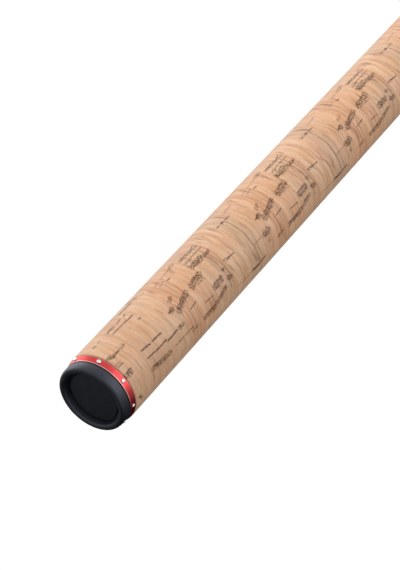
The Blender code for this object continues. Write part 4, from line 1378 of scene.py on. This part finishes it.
@dataclass
class Blank:
    """The two tapered tubes, the tip section slipping over the lower one."""

    wall: float = 0.0018
    tip_wall: float = 0.00075
    ferrule_length: float = 0.070
    swell_length: float = 0.045
    swell_rows: int = 8
    mouth_step: float = 0.0003
    tip_radius: float = 0.0016
    sides: int = 64

    def ferrule(self) -> Place:
        """Start and end of the ferrule and the end of its swelling."""
        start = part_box("tip_blank")[0][0]
        return start, start + self.ferrule_length, start + self.ferrule_length + self.swell_length

    def tip_outer(self, x: float) -> float:
        """Works out the tip section's outer radius.

        Args:
            x: Distance from the butt.

        Returns:
            The radius there.
        """
        start, end, swell_end = self.ferrule()
        mouth = blank_radius(start) + FERRULE_GAP + FERRULE_WALL
        shoulder = mouth - BLANK_TAPER * self.ferrule_length
        plain = blank_radius(swell_end)
        places = (start, end, swell_end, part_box("tip_blank")[1][0])
        return float(np.interp(x, places, (mouth, shoulder, plain, self.tip_radius)))

    def outer(self, x: float) -> float:
        """Outer radius of whichever section is outermost at a distance from the butt."""
        return blank_radius(x) if x < self.ferrule()[0] else self.tip_outer(x)

    def build(self) -> None:
        """Turns both sections and finishes the plug in the butt."""
        lower = Reach.of("lower_blank")
        outline = rounded([
            (lower.start, blank_radius(lower.start) - self.wall, 0.0),
            (lower.start, blank_radius(lower.start), 0.0003),
            (lower.end, blank_radius(lower.end), 0.0006),
            (lower.end, blank_radius(lower.end) - self.wall, 0.0003),
        ])
        dress(lathe("blank_lower", outline, self.sides), LACQUER, BUTT_BODY, "lower_blank")
        start, end, swell_end = self.ferrule()
        tip_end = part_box("tip_blank")[1][0]
        step_end = end + self.mouth_step
        places = [end, *np.linspace(end, swell_end, self.swell_rows + 1)[1:], tip_end]
        outline = rounded([
            (start, self.tip_outer(start), 0.0004),
            *((x, self.tip_outer(x), 0.0) for x in places),
            (tip_end, self.tip_radius - self.tip_wall, 0.0),
            (swell_end, self.tip_outer(swell_end) - self.tip_wall, 0.0),
            (step_end, blank_radius(step_end) - self.tip_wall, 0.0),
            (step_end, blank_radius(step_end) + FERRULE_GAP, 0.0),
            (start, blank_radius(start) + FERRULE_GAP, 0.0002),
        ])
        dress(lathe("blank_tip", outline, self.sides), LACQUER, TIP_BODY, "tip_blank")
        repaint("blank_bung", FIBRE)


@dataclass
class ReelSeat:
    """Threaded barrel with its flat bed, two hoods with their cushions, and the fluted lock nut."""

    radius: float = 0.0125
    bore: float = 0.0088
    barrel_sides: int = 120
    bed_height: float = 0.0104
    bed_margin: float = 0.0112
    thread_length: float = 0.051
    thread_step: float = 0.00025
    thread_start: float = 0.002
    thread_end: float = 0.0015
    root_slope: float = 0.001
    edge_break: float = 0.0004
    crease: float = 0.00002
    pitch: float = 0.0030
    thread_depth: float = 0.00075
    key_half: float = 0.0016
    key_depth: float = 0.0014
    key_length: float = 0.080
    key_inset: float = 0.0004
    hood_wall: float = 0.0013
    hood_length: float = 0.026
    hood_roof: float = 0.0015
    hood_rim: float = 0.0005
    hood_sides: int = 96
    nose_drop: float = 0.0040
    nose_share: float = 0.58
    bead_height: float = 0.0004
    bead_place: float = 0.0022
    bead_width: float = 0.0009
    pocket_depth: float = 0.0150
    pocket_half: float = 0.0088
    pocket_height: float = 0.0171
    squareness: float = 6.0
    flutes: int = 16
    flute_depth: float = 0.0008
    flute_start: float = 0.0022
    collar_width: float = 0.0018
    collar_drop: float = 0.0001

    def build(self) -> None:
        """Builds every piece of the seat."""
        self.barrel()
        self.hood("fixed_hood", BUTT_BODY, 1)
        self.hood("sliding_hood", "sliding_hood", -1)
        self.nut()
        for node in ("fixed_hood_liner", "sliding_hood_liner"):
            repaint(node, CUSHION)
        for node in ("seat_arbor_1", "seat_arbor_2"):
            repaint(node, FIBRE)

    def barrel(self) -> None:
        """Turns the barrel with its thread, then presses in the bed and the keyway."""
        body = Reach.of("seat_body")
        cut = body.length - self.thread_length
        key_start = body.length - self.key_length
        edge = math.asin(self.key_half / self.radius)
        key_angles = math.pi + np.array([-edge - 0.004, -edge, edge, edge + 0.004])
        angles = np.sort(np.concatenate([even_angles(self.barrel_sides), key_angles]))
        creases = [place + side * self.crease for place in (self.bed_margin, key_start) for side in (-1, 1)]
        plain = [0.0, self.edge_break * 1.5, *creases, cut - self.root_slope, cut]
        thread = np.arange(cut + self.thread_step, body.length - self.crease / 2, self.thread_step)
        x = np.concatenate([plain, thread, [body.length]])[:, None]
        phase = (x / self.pitch - angles / (2 * math.pi)) % 1.0
        ridge = np.clip(1.35 * (1.0 - np.abs(2.0 * phase - 1.0)), 0.0, 1.0)
        ridge = ridge * ridge * (3 - 2 * ridge)
        ridge = ridge * np.clip((x - cut) / self.thread_start, 0.0, 1.0)
        ridge = ridge * np.clip((body.length - x) / self.thread_end, 0.0, 1.0)
        sunk = np.clip((x - cut + self.root_slope) / self.root_slope, 0.0, 1.0)
        radius = self.radius - self.thread_depth * sunk + self.thread_depth * ridge
        radius[0] -= self.edge_break
        skin = turned(x + body.start, radius, angles).reshape(*radius.shape, 3)
        y, z = skin[..., 1], skin[..., 2]
        keyed = (x > key_start) & (np.abs(y) < self.key_half + 1e-6) & (z < 0)
        z[(x > self.bed_margin) & (z > self.bed_height)] = self.bed_height
        z[keyed] = self.key_depth - self.radius
        bore = lathe_points([(body.end, self.bore), (body.start, self.bore)], angles)
        points = np.concatenate([skin.reshape(-1, 3), bore])
        obj = solid("seat_barrel", points, ring_faces(len(x) + 2, len(angles), True))
        dress(obj, NYLON, BUTT_BODY, "seat_body")

    def arch(self, x: float, barrel: float, half_width: float, height: float) -> np.ndarray:
        """Draws a hood's cross-section: a circle with a squarish arch standing on its top.

        Args:
            x: Where the section stands.
            barrel: Radius of the circle.
            half_width: Half the arch's width.
            height: The arch's height over the rod's axis.

        Returns:
            The section's points.
        """
        angle = even_angles(self.hood_sides)
        across, up = np.sin(angle), np.cos(angle)
        power = self.squareness
        squared = (np.abs(across) / half_width) ** power + (np.maximum(up, 0.0) / height) ** power
        reach = np.where(up > 0.0, np.maximum(barrel, squared ** (-1 / power)), barrel)
        return np.stack([np.full(len(angle), x), reach * across, reach * up], axis=1)

    def hood(self, node: str, body: str, facing: int) -> None:
        """Lofts a hood from its mouth to its nose and back through its bore and pocket.

        Args:
            node: The CAD node it replaces.
            body: The CAD body it moves with.
            facing: +1 if its mouth looks to the tip, -1 if to the butt.
        """
        reach = Reach.of(node)
        mouth = reach.end if facing > 0 else reach.start
        bore = self.radius + RUNNING_GAP
        half, roof = (size + self.hood_roof for size in (self.pocket_half, self.pocket_height))
        sizes = (bore + self.hood_wall, half, roof)
        loops = []
        for share in np.linspace(0.0, 1.0, 21):
            slope = np.clip((share - 1 + self.nose_share) / self.nose_share, 0.0, 1.0)
            drop = self.nose_drop * slope * slope * (3 - 2 * slope)
            depth = share * self.hood_length
            swell = self.bead_height * math.exp(-(((depth - self.bead_place) / self.bead_width) ** 2))
            for end in (depth, self.hood_length - depth):
                inset = 1 - min(end / self.hood_rim, 1.0)
                swell -= self.hood_rim * (1 - math.sqrt(1 - inset**2))
            outside, wide, high = (size + swell for size in sizes)
            loops.append(self.arch(mouth - facing * depth, outside, wide, high - drop))
        pocket_end = mouth - facing * self.pocket_depth
        for x, wide, high in (
            (mouth - facing * self.hood_length, bore / 2, bore / 2),
            (pocket_end, bore / 2, bore / 2),
            (pocket_end, self.pocket_half, self.pocket_height),
            (mouth, self.pocket_half, self.pocket_height),
        ):
            loops.append(self.arch(x, bore, wide, high))
        obj = loft(node + "_shell", loops, True)
        if node == "sliding_hood":
            obj = join(node + "_shell_keyed", [obj, self.key(mouth, facing, bore)])
        dress(obj, GUNMETAL, body, node)

    def key(self, mouth: float, facing: int, bore: float) -> bpy.types.Object:
        """Makes the key under the sliding hood, which runs in the barrel's keyway.

        Args:
            mouth: Where the hood's mouth is.
            facing: Which way it looks.
            bore: The hood's inner radius.

        Returns:
            The key.
        """
        half = self.key_half - RUNNING_GAP
        top = self.key_depth - RUNNING_GAP - self.radius
        low = -bore - self.hood_wall / 2
        loops = []
        for depth in (self.key_inset, self.hood_length - self.key_inset):
            x = mouth - facing * depth
            loops.append(np.array([(x, -half, low), (x, half, low), (x, half, top), (x, -half, top)]))
        return loft("hood_key", loops, False)

    def nut(self) -> None:
        """Turns the lock nut and cuts its flutes."""
        nut = Reach.of("lock_nut")
        radius = max(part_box("lock_nut")[1][1:])
        bore = self.radius + RUNNING_GAP
        shoulder = radius - self.flute_depth
        rear = [
            (0.0, bore, 0.0003),
            (0.0, shoulder - self.collar_drop * 2, 0.0006),
            (self.collar_width, shoulder - self.collar_drop, 0.0003),
            (self.flute_start, radius, 0.0005),
        ]
        front = [(nut.length - x, outer, rounding) for x, outer, rounding in reversed(rear)]
        outline = np.array(rounded(rear + front, steps=4))
        sides = self.flutes * 12
        angles = even_angles(sides)
        wave = (0.5 + 0.5 * np.cos(self.flutes * angles)) ** 1.5
        above = np.clip((outline[:, 1:] - shoulder) / (radius - shoulder), 0.0, 1.0)
        fluted = outline[:, 1:] - self.flute_depth * above * wave
        points = turned(outline[:, :1] + nut.start, fluted, angles)
        obj = solid("lock_nut_fluted", points, ring_faces(len(outline), sides, True), 40.0)
        dress(obj, RED, "lock_nut", "lock_nut")


@dataclass
class Winding:
    """Thread wound round the blank and flooded with varnish."""

    turn: float = 0.00035
    rows_per_turn: int = 3
    ridge: float = 0.000008
    end_taper: float = 0.0020
    foot_spread: float = 0.62
    sides: int = 48

    def band(self, node: str, body: str, surface: Callable[[float], float], thickness: float,
             hump: tuple[float, float] = (0.0, 0.0)) -> None:
        """Winds one band.

        Args:
            node: The CAD node it replaces.
            body: The CAD body it moves with.
            surface: The blank's radius at a distance from the butt.
            thickness: Thickness of thread and varnish.
            hump: Extra height over a guide's foot at the band's start and at its end, on the top only.
        """
        reach = Reach.of(node)
        rows = int(reach.length / (self.turn / self.rows_per_turn))
        along = np.linspace(reach.start, reach.end, rows)[:, None]
        angles = even_angles(self.sides)
        taper = np.clip(np.minimum(along - reach.start, reach.end - along) / self.end_taper, 0.0, 1.0)
        taper = np.sqrt(np.clip(taper * (2 - taper), 0.05, 1.0))
        wound = self.ridge * np.cos((along - reach.start) * 2 * math.pi / self.turn)
        base = np.array([[surface(x)] for x in along[:, 0]]) + GLUE_GAP
        lift = hump[0] + (hump[1] - hump[0]) * (along - reach.start) / reach.length
        over = np.exp(-((np.minimum(angles, 2 * math.pi - angles) / self.foot_spread) ** 2))
        outer = turned(along, base + thickness * taper + wound + lift * taper * over, angles)
        inner = lathe_points([(x, surface(x) + GLUE_GAP * 0.5) for x in (reach.end, reach.start)], angles)
        faces = ring_faces(rows + 2, self.sides, True)
        obj = solid(node.replace("wrap", "winding"), np.concatenate([outer, inner]), faces, 70.0)
        dress(obj, THREAD, body, node)


@dataclass
class Hoop:
    """A guide's wire hoop and the hard ring in it, upright over the rod."""

    x: float
    height: float
    radius: float
    thickness: float = 0.0011
    width: float = 0.0026
    ceramic_width: float = 0.0034
    ceramic_thickness: float = 0.0014
    sides: int = 72

    @property
    def middle(self) -> float:
        """Radius of the circle on which wires meet the hoop."""
        return self.radius - self.thickness * 0.35

    def band(self, name: str, half: float, first: tuple[float, float], second: tuple[float, float],
             steps: int) -> bpy.types.Object:
        """Turns a flat band about the hoop's axis.

        Args:
            name: The piece's name.
            half: Half its width.
            first: One of its radii, and the rounding of its edges there.
            second: The other radius and its rounding.
            steps: Chords in each rounding.

        Returns:
            The band.
        """
        rear, front = self.x - half, self.x + half
        outline = rounded([(rear, *first), (rear, *second), (front, *second), (front, *first)], steps)
        return lathe(name, outline, self.sides, self.height, 60.0)

    def frame(self, name: str) -> bpy.types.Object:
        """The wire hoop, a flat band with rounded edges."""
        inner, rounding = self.radius - self.thickness, self.thickness * 0.45
        return self.band(name, self.width / 2, (inner, rounding), (self.radius, rounding), 4)

    def ceramic(self, name: str, body: str) -> None:
        """Turns the hard ring that the line runs over, its inside rounded like a bead.

        Args:
            name: The guide's name.
            body: The CAD body it moves with.
        """
        outer = self.radius - self.thickness - GLUE_GAP * 0.5
        bead = (outer - self.ceramic_thickness, self.ceramic_thickness * 0.95)
        obj = self.band(name + "_ring", self.ceramic_width / 2, (outer, 0.0002), bead, 7)
        dress(obj, ZIRCONIA, body, name + "_ceramic")

    def side(self, hand: int, lean_degrees: float, ahead: float = 0.0) -> Place:
        """Finds where a wire meets the hoop.

        Args:
            hand: Which side of the rod it is on, as the sign of Y.
            lean_degrees: How far round the hoop from its lowest place.
            ahead: How far along the rod from the hoop's middle.

        Returns:
            The place.
        """
        lean = math.radians(lean_degrees)
        across, down = self.middle * math.sin(lean), self.middle * math.cos(lean)
        return (self.x + ahead, hand * across, self.height - down)


@dataclass
class LineGuides:
    """Double-foot guides: a hard ring in a wire hoop, on four bent legs and two feet under thread."""

    blank: Blank
    winding: Winding
    guides: int = 5
    leg_radius: float = 0.00085
    leg_lean: float = 52.0
    foot_gap: float = 0.00015
    foot_length: float = 0.0130
    foot_width: float = 0.0040
    foot_thickness: float = 0.0010
    foot_sides: int = 20
    thread: float = 0.00085

    def build(self) -> None:
        """Builds the five guides along the rod."""
        for number in range(1, self.guides + 1):
            self.guide(f"guide_{number}")

    def guide(self, name: str) -> None:
        """Builds one guide with its ring and both windings.

        Args:
            name: The guide's name.
        """
        low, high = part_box(name + "_frame")
        ring_low, ring_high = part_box(name + "_ceramic")
        height = (ring_low[2] + ring_high[2]) / 2
        hoop = Hoop((low[0] + high[0]) / 2, height, high[2] - height)
        body = BUTT_BODY if hoop.x < self.blank.ferrule()[0] else TIP_BODY
        reach = (high[0] - low[0]) / 2 - self.foot_length
        under = self.blank.outer(hoop.x) + self.foot_gap
        parts = [hoop.frame(name + "_hoop")]
        for side in (-1, 1):
            parts.append(self.foot(hoop.x, side, reach, under))
            parts += [self.leg(hoop, side, hand, reach, under) for hand in (-1, 1)]
        dress(join(name + "_wire", parts), SMOKED_STEEL, body, name + "_frame")
        hoop.ceramic(name, body)
        foot = self.foot_thickness + self.foot_gap
        for label, hump in (("rear", (foot * 0.45, foot * 0.9)), ("front", (foot * 0.9, foot * 0.45))):
            self.winding.band(f"{name}_{label}_wrap", body, self.blank.outer, self.thread, hump)

    def foot(self, x: float, side: int, reach: float, under: float) -> bpy.types.Object:
        """Makes one foot, ground thin towards its end so that the thread climbs onto it.

        Args:
            x: The guide's place along the rod.
            side: +1 for the foot towards the tip, -1 for the other.
            reach: Where the foot starts, from the guide's middle.
            under: Height of its underside over the rod's axis.

        Returns:
            The foot.
        """
        turn = even_angles(self.foot_sides)
        across, up = (np.sign(wave) * np.abs(wave) ** 0.6 for wave in (np.sin(turn), np.cos(turn)))
        loops = []
        for share in np.linspace(0.0, 1.0, 9):
            narrow = (1.0 - 0.5 * share) / 2
            width, tall = self.foot_width * narrow, self.foot_thickness * narrow
            if share in (0.0, 1.0):
                width, tall = width * 0.6, tall * 0.6
            place = np.full(len(turn), x + side * (reach + self.foot_length * share))
            loops.append(np.stack([place, width * across, under + tall + tall * up], axis=1))
        return loft("foot", loops, False)

    def leg(self, hoop: Hoop, side: int, hand: int, reach: float, under: float) -> bpy.types.Object:
        """Bends one leg out of the foot and up to the side of the hoop.

        Args:
            hoop: The guide's hoop.
            side: +1 for the leg towards the tip, -1 for the other.
            hand: Which side of the rod it stands on, as the sign of Y.
            reach: Where the foot starts, from the guide's middle.
            under: Height of the foot's underside over the rod's axis.

        Returns:
            The leg.
        """
        corners = (
            (hoop.x + side * (reach + 0.0012), hand * 0.0007, under + self.leg_radius * 0.9),
            (hoop.x + side * reach * 0.72, hand * 0.0010, under + self.leg_radius * 1.3),
            (hoop.x + side * reach * 0.30, hand * hoop.middle * 0.72, hoop.height - hoop.middle * 1.12),
            hoop.side(hand, self.leg_lean, side * 0.0006),
        )
        return wire("leg", corners, 18, self.leg_radius, 12, 0.7)


@dataclass
class TipGuide:
    """End guide: a tube over the tip, with a braced hoop and its hard ring."""

    guides: LineGuides
    ring_radius: float = 0.0060
    tube_wall: float = 0.00045
    tube_length: float = 0.0130
    tube_end: float = 0.0005
    tube_sides: int = 40
    keel_radius: float = 0.00085
    brace_radius: float = 0.00068
    brace_lean: float = 78.0
    thread: float = 0.0006

    def build(self) -> None:
        """Builds the end guide and the band behind it."""
        low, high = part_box("tip_ceramic")
        hoop = Hoop((low[0] + high[0]) / 2, (low[2] + high[2]) / 2, self.ring_radius)
        start = Reach.of("tip_frame").start
        end = start + self.tube_length
        bore = self.guides.blank.tip_radius + GLUE_GAP * 2
        outside = bore + self.tube_wall
        tube = lathe("tube", rounded([
            (start, bore, 0.0),
            (start, outside, 0.0002),
            (end, outside, 0.0007),
            (end, 0.0, 0.0),
            (end - self.tube_end, 0.0, 0.0),
            (end - self.tube_end, bore, 0.0),
        ]), self.tube_sides)
        keel = (
            (end - 0.0042, 0.0, outside - 0.0005),
            (end, 0.0, outside - 0.0003),
            hoop.side(1, 0.0, -0.0015),
            hoop.side(1, 0.0),
        )
        parts = [tube, hoop.frame("hoop"), wire("keel", keel, 10, self.keel_radius, 12)]
        parts += [self.brace(hoop, hand, start, outside) for hand in (-1, 1)]
        dress(join("tip_wire", parts), SMOKED_STEEL, TIP_BODY, "tip_frame")
        hoop.ceramic("tip", TIP_BODY)
        self.guides.winding.band("tip_wrap", TIP_BODY, self.guides.blank.outer, self.thread)

    def brace(self, hoop: Hoop, hand: int, start: float, outside: float) -> bpy.types.Object:
        """Bends one of the two wires that hold the hoop upright.

        Args:
            hoop: The hoop.
            hand: Which side of the rod it stands on, as the sign of Y.
            start: Where the tube starts.
            outside: The tube's outer radius.

        Returns:
            The brace.
        """
        corners = (
            (start + 0.00455, hand * 0.0005, outside - 0.00025),
            (start + 0.0085, hand * 0.0012, outside + 0.0002),
            (hoop.x - 0.0028, hand * hoop.middle * 0.93, hoop.height - hoop.middle * 0.55),
            hoop.side(hand, self.brace_lean),
        )
        return wire("brace", corners, 16, self.brace_radius, 10)


# The studio


def emptied(owner: bpy.types.Material | bpy.types.World) -> Tree:
    """Gives a material or the world an empty node tree.

    Args:
        owner: The material or the world.

    Returns:
        Its node tree.
    """
    owner.use_nodes = True
    owner.node_tree.nodes.clear()
    return owner.node_tree


def shown_rays(tree: Tree) -> Socket:
    """Tells the rays that show a surface, also in a reflection, from those that only light the scene.

    Args:
        tree: The node tree.

    Returns:
        1 for the rays that show it, 0 for the rest.
    """
    rays = add_node(tree, "LightPath", {}).node.outputs
    shown = rays["Is Camera Ray"]
    for name in ("Is Glossy Ray", "Is Transmission Ray"):
        shown = add_node(tree, "Math", (shown, rays[name]), operation="MAXIMUM")
    return shown


@dataclass(frozen=True)
class Lamp:
    """A long softbox beside the rod, which either lights the rod or only shines in its reflections."""

    name: str
    round_deg: float
    distance: float
    width: float
    watts: float
    shines: bool


@dataclass(frozen=True)
class Card:
    """A dark card near the butt, which only reflections show, by its colour and two of its corners."""

    colour: str
    low: Place
    high: Place


@dataclass
class Studio:
    """White ground well below the rod, soft lamps, and the camera at the photograph's angle."""

    camera_place: Place = (-0.9102, -0.6288, 1.1109)
    camera_right: Place = (0.534, -0.845, 0.0)
    camera_ahead: Place = (0.6138, 0.3882, -0.6870)
    lens_mm: float = 239.8
    sensor_mm: float = 36.0
    floor_height: float = -0.45
    floor_size: float = 400.0
    floor_glow: float = 0.8
    world_fill: float = 0.34
    lamp_start: float = -0.1
    lamp_length: float = 2.3
    lamps: tuple[Lamp, ...] = (
        Lamp("key_softbox", -38.0, 1.3, 0.9, 31.5, False),
        Lamp("fill_softbox", 68.0, 1.5, 1.2, 22.5, False),
        Lamp("left_shine", -86.0, 1.3, 0.9, 10.0, True),
        Lamp("right_shine", 50.0, 1.5, 1.2, 16.0, True),
    )
    cards: tuple[Card, ...] = (
        Card("#050505", (-0.60, -0.50, -0.20), (0.60, 0.06, -0.20)),
        Card("#606060", (-0.60, 0.06, -0.20), (-0.02, 0.50, -0.20)),
        Card("#050505", (0.18, -0.50, -0.20), (0.43, -0.50, 0.06)),
    )

    def build(self) -> None:
        """Sets up the camera, the ground, the white surroundings, the lamps and the cards."""
        bpy.context.scene.view_settings.view_transform = "Standard"
        self.camera()
        self.floor()
        self.surroundings()
        for lamp in self.lamps:
            self.hang(lamp)
        for number, card in enumerate(self.cards, 1):
            self.shade(number, card)

    def camera(self) -> None:
        """Makes the camera from its place and its two directions."""
        ahead = Vector(self.camera_ahead).normalized()
        right = Vector(self.camera_right).normalized()
        up = right.cross(ahead).normalized()
        turn = Matrix((right, up, -ahead)).transposed().to_4x4()
        data = bpy.data.cameras.new("camera")
        data.lens = self.lens_mm
        data.sensor_width = self.sensor_mm
        data.clip_start = 0.05
        data.clip_end = 500.0
        obj = bpy.data.objects.new("camera", data)
        obj.matrix_world = Matrix.Translation(self.camera_place) @ turn
        bpy.context.scene.collection.objects.link(obj)
        bpy.context.scene.camera = obj

    def board(self, name: str, low: Place, high: Place, material: bpy.types.Material) -> bpy.types.Object:
        """Makes a flat rectangle that isn't part of the rod.

        Args:
            name: Its name.
            low: One corner.
            high: The corner across from it.
            material: Its material.

        Returns:
            The rectangle.
        """
        corners = [low, (high[0], low[1], low[2]), high, (low[0], high[1], high[2])]
        mesh = bpy.data.meshes.new(name)
        mesh.from_pydata(corners, [], [(0, 1, 2, 3)])
        mesh.materials.append(material)
        obj = bpy.data.objects.new(name, mesh)
        bpy.context.scene.collection.objects.link(obj)
        return obj

    def floor(self) -> None:
        """Lays the ground: a pale surface that takes the shadow and otherwise shows white."""
        half = self.floor_size / 2
        material = bpy.data.materials.new("white_ground")
        tree = emptied(material)
        glow = add_node(tree, "Emission", {"Color": linear("#FFFFFF"), "Strength": shown_rays(tree)})
        paper = add_node(tree, "BsdfDiffuse", {"Color": linear("#F4F4F4")})
        mixed = add_node(tree, "MixShader", (self.floor_glow, paper, glow))
        add_node(tree, "OutputMaterial", {"Surface": mixed})
        low, high = (-half, -half, self.floor_height), (half, half, self.floor_height)
        self.board("studio_floor", low, high, material)

    def surroundings(self) -> None:
        """Lights the scene evenly, and shows white wherever the ground doesn't reach."""
        world = bpy.data.worlds.new("studio")
        bpy.context.scene.world = world
        tree = emptied(world)
        strength = add_node(tree, "MapRange", (shown_rays(tree), 0.0, 1.0, self.world_fill, 1.0))
        sky = add_node(tree, "Background", {"Color": linear("#FFFFFF"), "Strength": strength})
        add_node(tree, "OutputWorld", {"Surface": sky})

    def hang(self, lamp: Lamp) -> None:
        """Hangs a softbox, as long as the rod and a little further on, its angle from the top towards -Y.

        Args:
            lamp: The softbox.
        """
        data = bpy.data.lights.new(lamp.name, "AREA")
        data.shape = "RECTANGLE"
        data.size = self.lamp_length
        data.size_y = lamp.width
        data.energy = lamp.watts
        obj = bpy.data.objects.new(lamp.name, data)
        obj.visible_glossy = lamp.shines
        obj.visible_diffuse = not lamp.shines
        angle = math.radians(lamp.round_deg)
        away = Vector((0.0, -math.sin(angle), math.cos(angle)))
        ahead = Vector((1.0, 0.0, 0.0))
        turn = Matrix((ahead, away.cross(ahead), away)).transposed().to_4x4()
        middle = ahead * (self.lamp_start + self.lamp_length / 2)
        obj.matrix_world = Matrix.Translation(middle + away * lamp.distance) @ turn
        bpy.context.scene.collection.objects.link(obj)

    def shade(self, number: int, card: Card) -> None:
        """Hangs a card.

        Args:
            number: The card's number.
            card: The card.
        """
        material = bpy.data.materials.new(f"dark_card_{number}")
        tree = emptied(material)
        dark = add_node(tree, "BsdfDiffuse", {"Color": linear(card.colour)})
        add_node(tree, "OutputMaterial", {"Surface": dark})
        obj = self.board(f"dark_flag_{number}", card.low, card.high, material)
        for rays in ("visible_camera", "visible_diffuse", "visible_transmission", "visible_shadow"):
            setattr(obj, rays, False)


def main() -> None:
    """Builds every sub-assembly in order, from the butt to the tip."""
    logging.basicConfig(level=logging.INFO, format="%(name)s: %(message)s")
    blank = Blank()
    winding = Winding()
    guides = LineGuides(blank, winding)
    Studio().build()
    ButtCap().build()
    ButtRing().build()
    PrintedGrip("rear_grip", rear_radius=0.01694, front_radius=0.01449, rounding=0.0007,
                fine_until=0.190, fine_step=0.00050, coarse_step=0.00085, columns=360).build()
    PrintedGrip("foregrip", rear_radius=0.0150, front_radius=0.0126, rounding=0.0024,
                fine_until=0.0, fine_step=0.00080, coarse_step=0.00080, columns=240).build()
    TrimRings().build()
    ReelSeat().build()
    blank.build()
    winding.band("trim_wrap", BUTT_BODY, blank_radius, thickness=0.0007)
    winding.band("ferrule_wrap", TIP_BODY, blank.tip_outer, thickness=0.0007)
    guides.build()
    TipGuide(guides).build()


if __name__ == "__main__":
    main()
